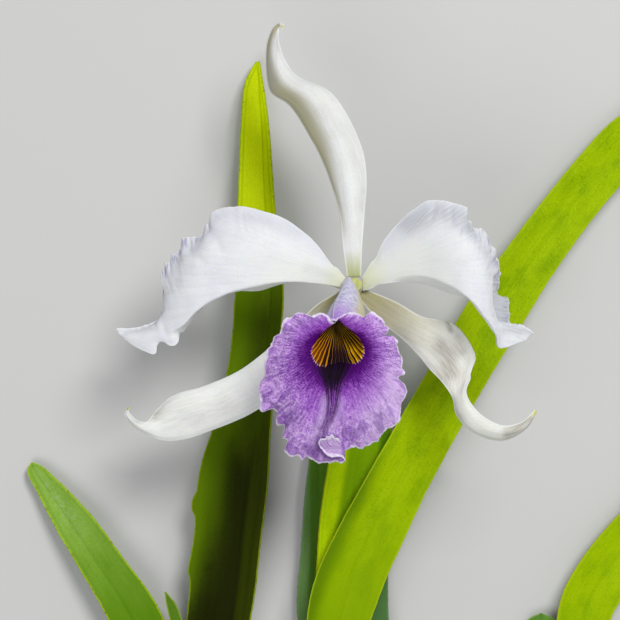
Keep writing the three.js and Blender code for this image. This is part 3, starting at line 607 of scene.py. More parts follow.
# Margins that leave the rails' smooth line, as x, y: lobes, notches and folded corners. The tuck
# is the line that part of the right petal's ruffle passes behind.
LEFT_RUFFLE = [
    [-7.4, 4.4], [-10, 6.8], [-12.6, 10.3], [-15.2, 13.8], [-18.9, 17.8], [-23.1, 21.2],
    [-27.8, 24.6], [-33, 27.1], [-37.7, 28.4], [-43, 29.9], [-47.4, 30.7], [-52.4, 30.4],
    [-57.2, 29.6], [-60.4, 28.1], [-61.1, 26.8], [-61.2, 24.7], [-63.1, 23.1], [-63.1, 21.6],
    [-62.5, 20.7], [-64.1, 19.5], [-66.1, 18.2], [-69, 18.2], [-71.9, 17.7], [-73.4, 16.4],
    [-73.3, 14.6], [-72.5, 13.3], [-73.8, 12.6], [-76, 11.7], [-77.6, 10.5], [-78, 9.1],
    [-77.6, 8], [-79.8, 7.2], [-80.6, 6.3], [-79.8, 5.2], [-81.2, 4.1], [-81.4, 2.8],
    [-82.8, 1.6], [-82.7, 0.3], [-81.4, -0.9], [-80.7, -3.1], [-80, -5.7], [-80, -8.4],
    [-80.9, -12.1], [-83, -15.8], [-85.6, -17.9], [-89.8, -19.5], [-95.1, -20.3],
    [-100.5, -20.4], [-101.9, -21.1],
]
LEFT_TAIL = [
    [-73.6, -21], [-74.2, -23.1], [-74.5, -26], [-76, -27.6], [-78.5, -27.6], [-80.6, -26.1],
    [-82.2, -26], [-83.5, -27.9], [-83.8, -30.5], [-84.8, -31.3], [-88.1, -30.3],
    [-91.9, -28.5], [-96.2, -25.8], [-99.4, -23.5], [-101.9, -21.1],
]
RIGHT_RUFFLE = [
    [6.6, 6.3], [8.9, 9.8], [10.1, 12.7], [11.8, 16.2], [14.6, 20], [18.4, 24.2], [21.8, 27.6],
    [26, 30.5], [28.5, 32.3], [31, 32.9], [36, 32.7], [41.1, 31.6], [44.5, 30.3], [46.3, 29.3],
    [46.3, 27.1], [45.5, 24.8], [47.9, 24.2], [48.6, 22], [49.2, 21.2], [52.2, 20.8],
    [54.4, 18.5], [55.7, 16.4], [56.4, 13.8], [57.9, 12.4], [57.9, 9.6], [59.2, 8.2],
    [59.6, 5.6], [59.7, 3.4], [58.5, 2.9], [60.1, 3.2], [61.5, 1.5], [61.5, -2.3],
    [60.6, -5.6], [61.9, -5.7], [64.1, -6.6], [65.3, -9.6], [65.3, -13], [65.8, -13.9],
    [65.6, -17.3], [66.3, -17.5], [68.8, -18.5], [71.7, -20.3], [74.2, -22.2], [74.4, -23],
]
RIGHT_TAIL = [
    [7.5, -2.2], [13.4, -1.4], [19.4, -0.7], [26.2, -1.4], [31.2, -2.7], [36.3, -4.5],
    [40.3, -6], [43.5, -6.9], [45.7, -7.1], [47.5, -8.1], [50.4, -11.3], [53.5, -15.1],
    [56.6, -19.8], [58.5, -23.2], [58.8, -26.2], [59.7, -28.3], [60.7, -28.5], [64.2, -26.9],
    [67.7, -25.8], [72.1, -24.5], [74.2, -23.4],
]
RIGHT_TUCK = [
    [-18.5, 61.5], [-17.2, 59], [-14.7, 56.8], [-10.4, 56.6], [-3.6, 56.3], [0.6, 56.8],
    [2.8, 58.3],
]  # y, x
RIGHT_SEPAL_FOLD = [
    [33.3, -16.5], [35.3, -17.2], [39.9, -17.1], [41.2, -18.3], [43, -19.3], [46.3, -23],
    [49.6, -28.5], [50.8, -32.5], [49.3, -36.5], [47.4, -42],
]
# Creases and patches of painted shade: each a line of x, y, its width, and its height or how dark its
# painted shade is.
LEFT_CREASES = (
    ([[-47.4, 27.5], [-46.2, 20]], 1, -0.35),
    ([[-61.4, 21.5], [-56.5, 13.5]], 1.9, -0.4),
    ([[-69.8, 12], [-63.5, 7.5]], 1.8, -0.4),
    ([[-81, -19], [-78.6, -26]], 1.6, -0.35),
    ([[-97, -22], [-84, -19.5]], 1.4, -0.3),
)
RIGHT_CREASES = (
    ([[45.8, 25], [42.5, 19]], 1.1, -0.5),
    ([[40, 30.5], [39.5, 24]], 1, -0.3),
    ([[33, 31], [31.5, 25]], 1.2, -0.3),
    ([[57, -14.7], [59, -17.2], [64, -19]], 0.9, -0.4),
)
LEFT_SEPAL_CREASES = (([[-84, -58], [-80.5, -52], [-75.5, -46.5], [-69, -43.5]], 1.8, -0.6),)
RIGHT_SEPAL_CREASES = (
    ([[39.6, -17.2], [40.8, -21.5]], 1.1, -1),
    ([[36, -20], [44, -30]], 3, 0.5),
    ([[44.6, -26], [46, -33]], 2, -0.6),
)
LEFT_PETAL_SHADE = (
    ([[-10, 2], [-20, 5]], 3, 0.3),
    ([[-25, 20], [-52, 28]], 3.5, 0.3), ([[-58, 26], [-66, 15], [-77, 4], [-78, -6]], 2.2, 0.35),
    ([[-84, -20.5], [-97, -22]], 2, 0.4),
)
RIGHT_PETAL_SHADE = (
    ([[22, 23], [34, 28], [44, 25]], 6, 0.65), ([[47, 20], [56, 8]], 3, 0.4),
    ([[62, -21], [73, -23]], 2.6, 0.55),
)
DORSAL_SHADE = (
    ([[-34.5, 84], [-35, 92], [-33.5, 104]], 3.4, 0.5),
    ([[-14, 72], [-4, 60], [2, 45], [3.5, 30]], 4, 0.3),
)
LEFT_SEPAL_SHADE = (
    ([[-56, -53], [-68, -57], [-84, -58], [-93, -59]], 7, 0.4),
    ([[-85, -58], [-81.5, -52], [-76.5, -45.5], [-70, -42]], 1.5, 0.35),
)
RIGHT_SEPAL_SHADE = (
    ([[14, -11], [23, -18.5]], 5, 0.3),
    ([[36.5, -28], [39, -32], [40.5, -39]], 5, 0.75),
    ([[43.5, -24], [46, -30]], 2.6, 0.45),
    ([[30, -37], [35, -43], [38, -51], [44, -58]], 3.4, 0.5),
    ([[39.4, -17.6], [40.6, -21]], 1.6, 0.6),
    ([[64, -64], [73, -58.5]], 3, 0.75),
)
LIME = (184, 186, 24)
# Its folded_back_light is painted light on the half of each petal that is folded back.
petal_white = tepal_paint(
    "petal_white", (231, 233, 237), (212, 215, 225), (172, 176, 184), (226, 230, 200), 0.11,
    folded_back_light=(248, 249, 250), warm=(238, 241, 234),
)
# Its (158, 154, 114) side strip is painted shade by the rolled-back left margin.
dorsal_cream = tepal_paint(
    "dorsal_cream", (234, 236, 237), (217, 218, 214), (168, 168, 170), (192, 198, 146), 0.09,
    (0.9, LIME), (158, 154, 114),
)
# A lighter copy of the sepal cream: painted light on this sepal, which lies in the flower's shade.
# Its base is partly the sepal's own green, partly painted shade near the column.
lateral_left = tepal_paint(
    "lateral_left_lit_cream", (246, 248, 245), (230, 231, 228), (164, 164, 158), (150, 146, 90), 0.3,
    (0.945, LIME),
)
lateral_right = tepal_paint(
    "lateral_right_cream", (236, 238, 233), (218, 217, 207), (160, 155, 144), (176, 170, 124),
    0.3, (0.965, (208, 212, 110)),
)
for side, *form in (
    ("left", LEFT_PETAL, 3, LEFT_RUFFLE, LEFT_TAIL, LEFT_CREASES, LEFT_PETAL_SHADE),
    ("right", RIGHT_PETAL, 8, RIGHT_RUFFLE, RIGHT_TAIL, RIGHT_CREASES, RIGHT_PETAL_SHADE, RIGHT_TUCK),
):
    dress(petal(f"petal_{side}_ruffled", *form), petal_white, "petal_" + side)
for node, paint, *form in (
    ("dorsal_sepal", dorsal_cream, DORSAL_SEPAL, 21, None, (), DORSAL_SHADE),
    ("lateral_sepal_left", lateral_left, LEFT_LATERAL_SEPAL, 22, None, LEFT_SEPAL_CREASES,
     LEFT_SEPAL_SHADE),
    ("lateral_sepal_right", lateral_right, RIGHT_LATERAL_SEPAL, 23, RIGHT_SEPAL_FOLD,
     RIGHT_SEPAL_CREASES, RIGHT_SEPAL_SHADE),
):
    dress(sepal(node + "_blade", *form), paint, node)


# ------------------------------------------------------------------ lip
# Angles are measured round the throat from straight down, positive to the right.
LIP_TUBE = [
    [-2.6, -2.3, 1.6, 2.9, 3.3],
    [-2.6, -7.6, 9, 4.4, 5.4],
    [-3.8, -15, 18, 7.3, 7.7],
    [-6, -22.3, 26, 9.3, 9.4],
    [-7.5, -27.7, 31.5, 10.8, 10.2],
]  # centre x, y, z, half width, half height
LIP_PINCH = [0.35, 0.2, 0.1, 0.3, 0.5]  # how much narrower the tube is at its top
LIP_LIMB = [
    [0.5, 1.2, 1.8, 0, 0.1, 0],
    [0.8, 1.9, -2, 3.2, 0.6, 0.4],
    [1, 2.4, -4.5, 8, 1.5, 1],
]  # share of the way out, rise, further rise of the broad part, droop, waves, share of the notches
# For each ring, the angles of its two edges and how far the right one laps over the left one.
LIP_LEFT_EDGE = [-166, -168, -168, -168, -168, -166, -164.5, -163.5]
LIP_RIGHT_EDGE = [190, 200, 205, 205, 200, 196, 194, 192.5]
LIP_LAP = [0.2, 1.1, 1.3, 1.3, 1.3, 1.1, 0.7, 0.3]
LIP_WAVES = 12
LIP_SPAN = (-166, 196)  # the angles that the columns are spread over
# Angle, and distance from the throat's middle, of each point of the drawn margin.
LIP_MARGIN = [
    [-168, 11], [-162, 12.6], [-157.5, 14.6], [-152.4, 15.7], [-146.5, 16.2], [-142, 16.4],
    [-138.5, 16], [-136.5, 18.4], [-132.1, 20.8], [-126.7, 22.2], [-120.7, 23.5], [-113.1, 24.5],
    [-106, 24.5], [-101.5, 24.2], [-98.5, 26.2], [-93.1, 27.4], [-90.1, 27.2], [-86.3, 28.9],
    [-77.4, 30.5], [-69.6, 32.8], [-60.5, 36.7], [-55.7, 38.9], [-50.1, 40.5], [-48.3, 39.1],
    [-45.2, 37.3], [-42.6, 37.3], [-41.2, 39.2], [-37.8, 39.9], [-35.4, 38.7], [-33.6, 39.5],
    [-32.9, 41.2], [-31.7, 44.2], [-30.3, 44.4], [-28.9, 43.5], [-28, 44.4], [-27.6, 48.6],
    [-25.7, 48.6], [-23.3, 48.9], [-21.4, 48.3], [-18.8, 48.4], [-17.7, 49.1], [-16.4, 49.1],
    [-15.8, 46.5], [-14.8, 47.5], [-12.2, 47.9], [-9.3, 48.1], [-6.5, 47.6], [-2.4, 47.9],
    [0, 47.3], [2.2, 47.2], [2.5, 38.4], [2.9, 38.2], [3.3, 42.1], [6.5, 42.5], [10.2, 42.2],
    [11.6, 43], [13.4, 43.2], [14.5, 42.1], [17.4, 42.1], [21.4, 42.8], [23.3, 42.5],
    [24.5, 40.7], [31.5, 39.2], [35.7, 40], [38.3, 39.5], [41.8, 37.1], [47.7, 35.4],
    [54.1, 34.1], [60.6, 31.1], [61.2, 28.6], [63.4, 27.7], [66.4, 28.6], [74.1, 27.7],
    [81.5, 25.5], [90.1, 24.8], [99.5, 23.6], [102.7, 21.9], [104.6, 19.4], [108, 20.9],
    [111.1, 21.4], [118, 21.5], [128.8, 20.7], [135.4, 19.6], [137.4, 16.4], [142.9, 15.7],
    [149.6, 15.8], [158.3, 15.2], [168.4, 13.7], [176, 12], [186, 10.6], [192.5, 10.8],
]
LIP_COLUMNS = 380
LIP_TUBE_ROWS = 33
LIP_LIMB_ROWS = 78
MOUTH = LIP_TUBE[-1]


def lip_ring(ring, share, drawn):
    """One ring of the lip's tube or limb, at the shares of the way round it. Drawn is the margin
    as angles and distances from the throat's middle."""
    degrees = mix(LIP_LEFT_EDGE[ring], LIP_RIGHT_EDGE[ring], share)
    turn = np.radians(degrees)
    lap = LIP_LAP[ring] * ease(degrees, 150, 185)
    x, y, z, width, height = LIP_TUBE[min(ring, len(LIP_TUBE) - 1)]
    if ring < len(LIP_TUBE):
        narrow = 1 - LIP_PINCH[ring] * np.maximum(0, -np.cos(turn)) ** 1.5
        across = (width * narrow + lap) * np.sin(turn)
        return [x + across, y - (height + lap) * np.cos(turn), z + 0 * turn]
    out, rise, broad_rise, droop, wave, notched = LIP_LIMB[ring - len(LIP_TUBE)]
    throat = (width + height) / 2
    margin = np.interp(degrees, *drawn)
    smooth = smoothed(margin, 31)
    reach = mix(throat, mix(smooth, margin, notched), out) + lap
    broad = np.clip((smooth - throat) / 12, 0, 1)
    low = ((1 + np.cos(turn)) / 2) ** 2
    level = rise + (broad_rise + wave * np.sin(LIP_WAVES * turn)) * broad - droop * low
    return [x + reach * np.sin(turn), y - reach * np.cos(turn), z + level]


def lip_surface():
    """The lip's grid from the tube's foot to the margin, closer set where it is most cut up."""
    spacing = 1 + 2.2 * bell(np.linspace(*LIP_SPAN, LIP_COLUMNS), 0, 16)
    share = np.concatenate([[0], np.cumsum(1 / spacing[1:])])
    share = share / share[-1]
    angles, reaches = curve(LIP_MARGIN, shares(1500)).T
    drawn = (np.maximum.accumulate(angles), reaches)
    count = len(LIP_TUBE) + len(LIP_LIMB)
    rings = np.array([lip_ring(ring, share, drawn) for ring in range(count)]).transpose(0, 2, 1)
    mouth = (len(LIP_TUBE) - 1) / (count - 1)
    tube_steps, limb_steps = shares(LIP_TUBE_ROWS)[:-1], shares(LIP_LIMB_ROWS)
    steps = np.concatenate([mix(0, mouth, tube_steps), mix(mouth, 1, limb_steps)])
    grid = curve(rings, steps)
    turn = np.radians(mix(*LIP_SPAN, share))[None] + 0 * steps[:, None]
    ends = (grid[-1:], grid[:, :1], grid[:, -1:])
    return grid, {
        "turn": turn,
        "out": np.clip((steps - mouth) / (1 - mouth), 0, 1)[:, None] + 0 * turn,
        "inside": np.clip((mouth - steps) / mouth, 0, 1)[:, None] + 0 * turn,
        "reach": np.linalg.norm(grid[..., :2] - np.array(MOUTH[:2]), axis=-1),
        "edge": np.min([np.linalg.norm(grid - end, axis=-1) for end in ends], axis=0),
    }


def lip_relief(grid, fields):
    """Crenate margin, ribs that fan out of the throat, small puckers and a groove down the middle."""
    turn, out, reach = fields["turn"], fields["out"], fields["reach"]
    radial = unit((grid - np.array(MOUTH[:3])) * [1, 1, 0])
    spread = np.clip((reach - 12) / 12, 0, 1)
    around = (turn * (12 + 22 * spread), 0)
    low = 0.25 + 0.5 * (np.abs(turn) < 1.35)
    teeth = low * (1.2 * np.abs(grain(around, 1, 4)) + 0.5 * np.abs(grain(around, 0.45, 5)) - 0.3)
    lift = 0.7 * ease(out, 0.6, 1) * spread * np.sin(turn * 27 + 2.6 * grain(around, 6, 6))
    lift += 0.7 * ease(out, 0.1, 0.6) * grain((turn * 10, out * 1.3), 1, 7)
    lift += ease(out, 0.05, 0.3) * (0.3 * grain(grid, 2.2, 8) + 0.2 * grain(grid, 1.1, 9))
    lift -= 0.7 * bell(fields["middle"], 0, 1.5) * ease(out, 0, 0.2) * fields["down"]
    lift += creased(grid, LIP_CREASES)
    normal = directions(grid)[1]
    return grid + radial * (teeth * ease(out, 0.86, 1))[..., None] + normal * lift[..., None]


def limb_colours(paint, blotch, fine):
    """Mottled lilac round a deep violet glow, with a dark wedge of fine lines below the throat."""
    turn, out, reach, edge = paint.fields("turn", "out", "reach", "edge")
    violet, streak, pale, painted_shadow = paint.fields("violet", "streak", "pale", "painted_shadow")
    strand, solid = paint.fields("strand", "solid")
    light = blotch.rise(0.38, 0.62)
    near = paint.blend(light, (112, 34, 156), (166, 90, 204))
    far = paint.blend(light, (160, 100, 202), (230, 196, 250))
    far = paint.blend(turn.rise(0.1, 0.5) * turn.rise(1.5, 1) * 0.6, far, (232, 204, 252))
    paint.colour = paint.blend(out.rise(0.08, 0.6), near, far)
    ribs = paint.noise((turn * 9, reach * 0.1, 3))
    paint.coat(ribs.rise(0.48, 0.38) * out.rise(0.1, 0.4, 0.2, 0.5), (112, 58, 160))
    paint.coat(fine.rise(0.46, 0.34) * reach.rise(38, 16, 0.25, 0.55), (98, 34, 142))
    ragged = violet - (blotch * 0.5 + fine * 0.5 - 0.5) * violet.rise(0, 0.3) * 2.6
    paint.coat(ragged.rise(0.02, 0.85), (76, 0, 110))
    # pale bands beside the groove: partly a paler tone, partly painted highlight on the ridges
    paint.coat(pale * 0.4, (206, 190, 226))
    threads = paint.noise((strand * 6.5, reach * 0.03))
    lined = abs(strand) + threads * -1.4
    clear = threads.rise(0.42, 0.56) + solid * 0.8
    paint.coat(streak * lined.rise(0.75, -0.2) * clear.rise(0, 1, 0.25, 1), (16, 2, 20))
    # painted shadow below the apical lobe and in the creases
    paint.coat(painted_shadow, (96, 50, 128))
    paint.coat(edge.rise(1.7, 0.5, 0, 0.9), (240, 232, 250))


def throat_colours(paint, cells):
    """Golden veins on maroon, which fork and fade on their way out of the throat. Returns how
    much of a vein each place is."""
    fan, way, gold_share = paint.fields("fan", "way", "gold")
    waver = paint.noise((fan * 2, way * 0.16, 9), detail=1)
    wave = (fan * 58 + waver * 6).math("SINE")
    fork = (fan * 112 + waver * 15 + 1.3).math("SINE")
    aside = abs(fan - 0.1)
    centre = aside.rise(0.36, 0.16)
    forked = way.rise(5, 12, 0, 0.8).math("MAXIMUM", centre)
    flank = aside.rise(0.3, 0.75) * way.rise(6, 13) * 0.5
    shine = wave * centre.rise(0, 1, 1, 0.55) + fork * forked * 0.8 + flank - 0.2
    vein = shine.rise(-0.1, 0.6)
    bright = paint.blend(fan.rise(0.15, 0.6), (206, 138, 0), (255, 196, 0))
    faded = paint.blend(way.rise(5, 14), (196, 140, 0), (60, 36, 40))
    bright = paint.blend(centre * 0.95, bright, faded)
    # painted light: the veins near the apex, in the tube's shade, made brighter
    bright = paint.blend(way.rise(9, 3, 0, 0.85), bright, (255, 214, 70))
    ground = paint.blend(way.rise(6, 14), (40, 18, 8), (18, 4, 16))
    ground = paint.blend(aside.rise(0.3, 0.75) * way.rise(8, 15), ground, (128, 62, 6))
    gold = paint.blend(vein, ground, bright)
    spikes = gold_share.rise(1, 0.4) * aside.rise(0.3, 0.6) * way.rise(9, 13)
    gold = paint.blend(spikes * fork.rise(-0.2, 0.8, 0, 0.75), gold, (216, 176, 204))
    torn = gold_share + fork * 0.2 + (cells - 0.5) * 0.7
    paint.coat(torn.rise(0.3, 0.55), gold)
    return vein * gold_share


def lip_paint():
    """The lip's face in the colours of the limb and the throat, and its pale back with violet
    hoops."""
    paint = Paint("lip_velvet", roughness=0.62, specular=0.1, soft=0.08, reach=0.0005)
    turn, inside, reach, edge = paint.fields("turn", "inside", "reach", "edge")
    front, cream = paint.fields("front", "cream")
    place = paint.place()
    rays = paint.noise((turn * 30, reach * 0.35), 1, 3, 0.6)
    fine = paint.noise((turn * 64, reach * 0.22, 5))
    mottle = paint.noise(place, 1.2, 2, 0.6)
    cells = paint.noise(place, 2.3, 2, 0.6)
    blotch = rays * 0.36 + mottle * 0.34 + cells * 0.3
    limb_colours(paint, blotch, fine)
    veins = throat_colours(paint, cells)
    hoops = paint.noise((turn * 3, inside * 34), 1, 3, 0.7)
    speckle = hoops.rise(0.42, 0.62) * inside.rise(0.95, 0.5)
    outer = paint.blend(speckle * 0.6, (226, 224, 244), (142, 134, 204))
    outer = paint.blend(inside.rise(0.5, 0, 0, 0.9), outer, (176, 124, 220))
    outer = paint.blend(cream * 0.8, outer, (214, 206, 140))
    outer = paint.blend(edge.rise(0.9, 0.2, 0, 0.7), outer, (238, 234, 240))
    paint.colour = paint.blend(front.rise(0.4, 0.6), outer, paint.colour)
    paint.bump(mottle, 0.2)
    paint.bump(rays, 0.4)
    paint.bump(veins, 0.12)
    return paint.finish(mottle.rise(0.3, 0.7, 0.55, 0.72))


LOBE_TOP = [
    [-6.9, -65.5], [-7.6, -64.8], [-8.7, -64.7], [-9.9, -63.4], [-11.3, -64.1], [-12, -63.9],
    [-12.8, -65], [-14.6, -65.2], [-15.4, -66.2],
]  # x, y of the upper margin of the lobe that folds back over the lip's apex
LOBE_BOTTOM = [
    [-4.3, -74.7], [-5.6, -72.9], [-6.9, -72.5], [-9.5, -72.6], [-11, -72.4], [-12.2, -71.6],
    [-13.4, -70.2], [-14.8, -68.4], [-15.5, -66.6],
]
LIP_CREASES = (
    ([[-38, -49.4], [-35, -50.5], [-32, -52.4]], 0.9, -0.6),
    ([[-31.2, -54.2], [-27.2, -51.1]], 0.45, -0.45),
    ([[-28.9, -56.5], [-26.8, -54.9]], 0.4, -0.4),
    ([[-25.8, -57.9], [-24.4, -55.9]], 0.4, -0.4),
    ([[-23.2, -58.9], [-21.5, -55.3]], 0.4, -0.4),
)
STREAK = [
    [-73.2, -17], [-67.7, -15.6], [-63.7, -14.6], [-60.3, -12.9], [-56.2, -10.9], [-50.8, -9.8],
    [-40.6, -9.5], [-34, -8.8],
]  # y, x of the dark line down the middle, from its lower end
GOLD_EDGE = [
    [-180, 0.5], [-75, 1.5], [-55, 4], [-50, 9], [-45, 13.8], [-39.6, 16.4], [-28.6, 18.7],
    [-21.6, 19.6], [-13.4, 18.8], [-6.8, 17.6], [5, 16.6], [17.8, 17.8], [25, 19.1],
    [33.2, 18.9], [41.4, 17.7], [47.2, 16.2], [51.9, 14.1], [59, 9], [63.6, 4.4], [75, 1.5],
    [180, 0.5],
]  # angle round the apex of the throat and how far from it the gold reaches
GLOW = [
    [-180, 0.4], [-135, 1], [-110, 3.4], [-90, 7], [-60, 11], [-40, 10.5], [-20, 9], [0, 7],
    [20, 7], [40, 7.5], [60, 6.5], [90, 4.8], [110, 3], [135, 0.9], [160, 0.4], [196, 0.2],
]  # angle round the throat and how far the deep violet reaches beyond it
WEDGE = [
    [-76, 1.2, 0.2], [-60, 2.1, 0.55], [-50, 2.5, 0.75], [-45, 3.2, 0.9], [-41, 4.4, 1],
    [-38, 6.2, 1], [-33, 8.2, 1], [-31, 8.5, 1], [-29, 8, 0],
]  # y, half the width of the dark wedge and how dark it is
APEX = [-8.3, -17.4]  # where the veins of the throat start
THROAT = 10.2  # its radius
LOBE_GRID = (90, 70)
LOBE_LACKS = ("inside", "streak", "pale", "cream", "painted_shadow", "gold", "fan", "solid")


def lobe_sheet(grid, fields):
    """The apical lobe, which folds to the left along its right side; here a sheet above the lip, a
    little hollow, with a raised rim.
    """
    along, across = np.meshgrid(*map(shares, LOBE_GRID), indexing="ij")
    top, bottom = (curve(line, along[:, 0])[:, None] for line in (LOBE_TOP, LOBE_BOTTOM))
    flat = mix(top, bottom, across[..., None])
    known = grid[(line_distance(grid, flat[::8, LOBE_GRID[1] // 2]) < 7) & (fields["out"] > 0.5)]
    level = np.linalg.lstsq(np.c_[known[:, :2], np.ones(len(known))], known[:, 2], rcond=None)[0]
    rim = np.minimum(np.minimum(across, 1 - across) * 9, (1 - along) * 12)
    height = flat @ level[:2] + level[2] + 0.8
    height += 1.3 * np.sin(math.pi * along**0.7) + 0.9 * (1 - ease(rim, 0, 2.2))
    places = np.concatenate([flat, height[..., None]], axis=-1)
    teeth = 0.55 * np.abs(grain((along * 30, across * 22), 2.2, 31)) * (1 - ease(rim, 0, 1.6))
    places[..., 1] += teeth * np.where(across < 0.5, 1, -1)
    places[..., 2] += 0.3 * grain(places * [1, 1, 0], 1.7, 32)
    shared = {
        "turn": 0.9 - along * 0.5 - across * 0.35, "out": 0.75 + 0 * along,
        "reach": 30 - 12 * along, "edge": rim, "violet": 0.25 * bell(across, 0.45, 0.25),
        "way": 30 + 0 * along, "strand": 3 + 0 * along, **dict.fromkeys(LOBE_LACKS, 0 * along),
    }
    return sheet("lip_apical_lobe", places, mix(0.3, 0.6, ease(rim, 0, 2)), shared)


def lip_marks(grid, fields):
    """Adds where the lip's colours lie: the shares and ways that its paint reads."""
    x, y = grid[..., 0], grid[..., 1]
    turn, out, inside = fields["turn"], fields["out"], fields["inside"]
    beyond = fields["reach"] - THROAT
    middle = x - looked_up(y, STREAK)
    down = (np.abs(turn) < 1.2) * ease(out, 0, 0.05)
    glow = looked_up(np.degrees(turn), GLOW)
    fan = np.arctan2(x - APEX[0], APEX[1] - y)
    way = np.linalg.norm(grid[..., :2] - np.array(APEX), axis=-1)
    gold = ease(looked_up(np.degrees(fan), GOLD_EDGE) - way, -0.6, 1.2)
    # Pale bands beside the groove down the middle: partly a paler tone, partly painted highlight on
    # the ridges.
    pale = (bell(middle, -3.4, 1.7) + 0.7 * bell(middle, 3.6, 1.9)) * down
    fields.update({
        "middle": middle, "down": down, "fan": fan, "way": way,
        "violet": np.exp(-((np.maximum(beyond, 0) / glow) ** 1.5)) * ease(glow, 0, 3),
        "gold": gold * (out < 0.35) * (np.abs(turn) < 2.6),
        "strand": np.clip(middle / looked_up(y, WEDGE), -3, 3),
        "streak": looked_up(y, WEDGE, 2) * (inside < 0.3),
        "solid": ease(y, -48, -40),
        "pale": pale * ease(beyond, 8, 13) * (1 - ease(beyond, 24, 32)),
        "cream": bell(turn, 1.95, 0.4) * (inside > 0.02),
    })


def lip_pieces():
    """The lip, and the small lobe that folds back over its apex and shades it, with painted shadow
    along the lobe's lower margin and in the lip's creases.
    """
    grid, fields = lip_surface()
    lip_marks(grid, fields)
    grid = lip_relief(grid, fields)
    # painted shadow beside the lobe's lower margin and in the creases
    beside = line_distance(grid, curve(LOBE_BOTTOM, shares(30))) - 0.4
    fields["painted_shadow"] = 0.65 * (1 - ease(beside, 0, 2.2)) * (fields["out"] > 0.4)
    for line, width, _ in LIP_CREASES:
        crease_shadow = 0.4 * bell(line_distance(grid, line), 0, width)
        fields["painted_shadow"] = np.maximum(fields["painted_shadow"], crease_shadow)
    lip = sheet("lip_velvety", grid, mix(0.35, 0.7, ease(fields["edge"], 0, 2)), fields)
    return lip, lobe_sheet(grid, fields)


velvet = lip_paint()
for piece in lip_pieces():
    dress(piece, velvet, "lip")


# ------------------------------------------------------------------ column and stalk
COLUMN = [[0.2, -1.6, 2.2], [-1.9, -6.4, 9], [-3.4, -10.6, 16.5], [-4.8, -14.4, 22]]
PEDICEL = [
    [-0.6, -2.9, 0.9], [-0.6, -3.2, -8], [-0.9, -6.5, -24], [-1.6, -14, -40], [-2.6, -28, -50.5],
    [-3, -42, -54],
]
PEDUNCLE = [
    [-3.1, -42.5, -54.1], [-2, -83, -56], [-1.5, -105, -57.5], [-3, -132.5, -58.5],
    [-5, -159, -58.5], [-8, -185.5, -57.6], [-9, -198, -56.5],
]
HUB_RADIUS = 3.3
STALK_RADIUS = 2.2
CAP_RADIUS = 2.1
CAP_GAP = 0.35
CAP_GRID = (26, 40)
COLUMN_RINGS = 60
PEDUNCLE_STEPS = 1000


def stalk_paint(name, light, dark, speck, ribs, roughness=0.5):
    """Green stem tissue with faint ridges along it and small specks."""
    paint = Paint(name, roughness, soft=0.1)
    place = paint.place()
    ridge = (paint.fields("turn")[0] * ribs).math("SINE")
    cloud = paint.noise(place, 0.16, 3).rise(0.35, 0.65)
    paint.colour = paint.blend(cloud * 0.7 + ridge * 0.12, light, dark)
    paint.coat(paint.noise(place, 1.5).rise(0.62, 0.72, 0, 0.5), speck)
    paint.bump(ridge, 0.08)
    paint.bump(paint.noise(place, 1.8, 3), 0.12)
    return paint.finish()


column_cream = stalk_paint("column_cream", (206, 208, 138), (172, 178, 80), (130, 130, 30), 6)
stalk_green = stalk_paint("stalk_green", (164, 182, 92), (120, 146, 62), (92, 110, 60), 6)
cap_white = stalk_paint("cap_white", (240, 236, 214), (220, 206, 190), (180, 140, 190), 2)
sheath_green = stalk_paint(
    "sheath_green", (178, 180, 104), (150, 142, 84), (110, 96, 58), 14, 0.6,
)


def column_radius(along, turn):
    """Narrow at its foot, with a keel below and two small wings beside the cap."""
    wings = 0.35 * ease(along, 0.6, 0.95) * np.abs(np.cos(turn)) ** 6
    foot = 1.1 * (1 - ease(along, 0.02, 0.3))
    return mix(1.9, 2.45, along) * (1 - 0.05 * np.sin(3 * turn)) + wings + foot


def pedicel_radius(along, turn):
    """The ovary has six ridges and is thickest just behind the flower."""
    girth = np.where(along < 0.12, HUB_RADIUS, mix(2.9, STALK_RADIUS, ease(along, 0.12, 0.8)))
    girth = girth - 0.25 * ease(along, 0.08, 0.14) * (1 - ease(along, 0.14, 0.3))
    return girth * (1 + 0.05 * np.cos(6 * turn) * ease(along, 0.05, 0.2))


def peduncle_radius(along, turn):
    rings = bell(along, 0.32, 0.008) + bell(along, 0.71, 0.008)
    return STALK_RADIUS * (0.94 + 0.14 * rings + 0.02 * np.cos(8 * turn))


def cap_piece():
    """The anther cap: a flattened dome, notched in front, square to the column's end."""
    end, forward, right, up = (part[-1] for part in even_path(COLUMN, COLUMN_RINGS))
    rows, sides = CAP_GRID
    turn = np.arange(sides) * TURN / sides
    turn, tilt = np.meshgrid(turn, np.linspace(0.04, math.pi - 0.04, rows))
    notch = 1 - 0.22 * bell(np.cos(turn), 1, 0.25) * np.sin(tilt)
    flat = CAP_RADIUS * np.sin(tilt) * notch
    high = 0.6 * CAP_RADIUS * (1 + np.cos(tilt)) + CAP_GAP
    ways = ((forward, high), (right, flat * np.cos(turn)), (up, 0.85 * flat * np.sin(turn)))
    places = end + sum(way * far[..., None] for way, far in ways)
    return make_piece("anther_cap_notched", *tube(places), {"turn": turn})


SHEATH_START = 0.6
SHEATH_END = 0.995
SHEATH_GIRTH = [3.1, 4, 4.1, 3.4]
SHEATH_WRAP = [130, 150, 160, 150]


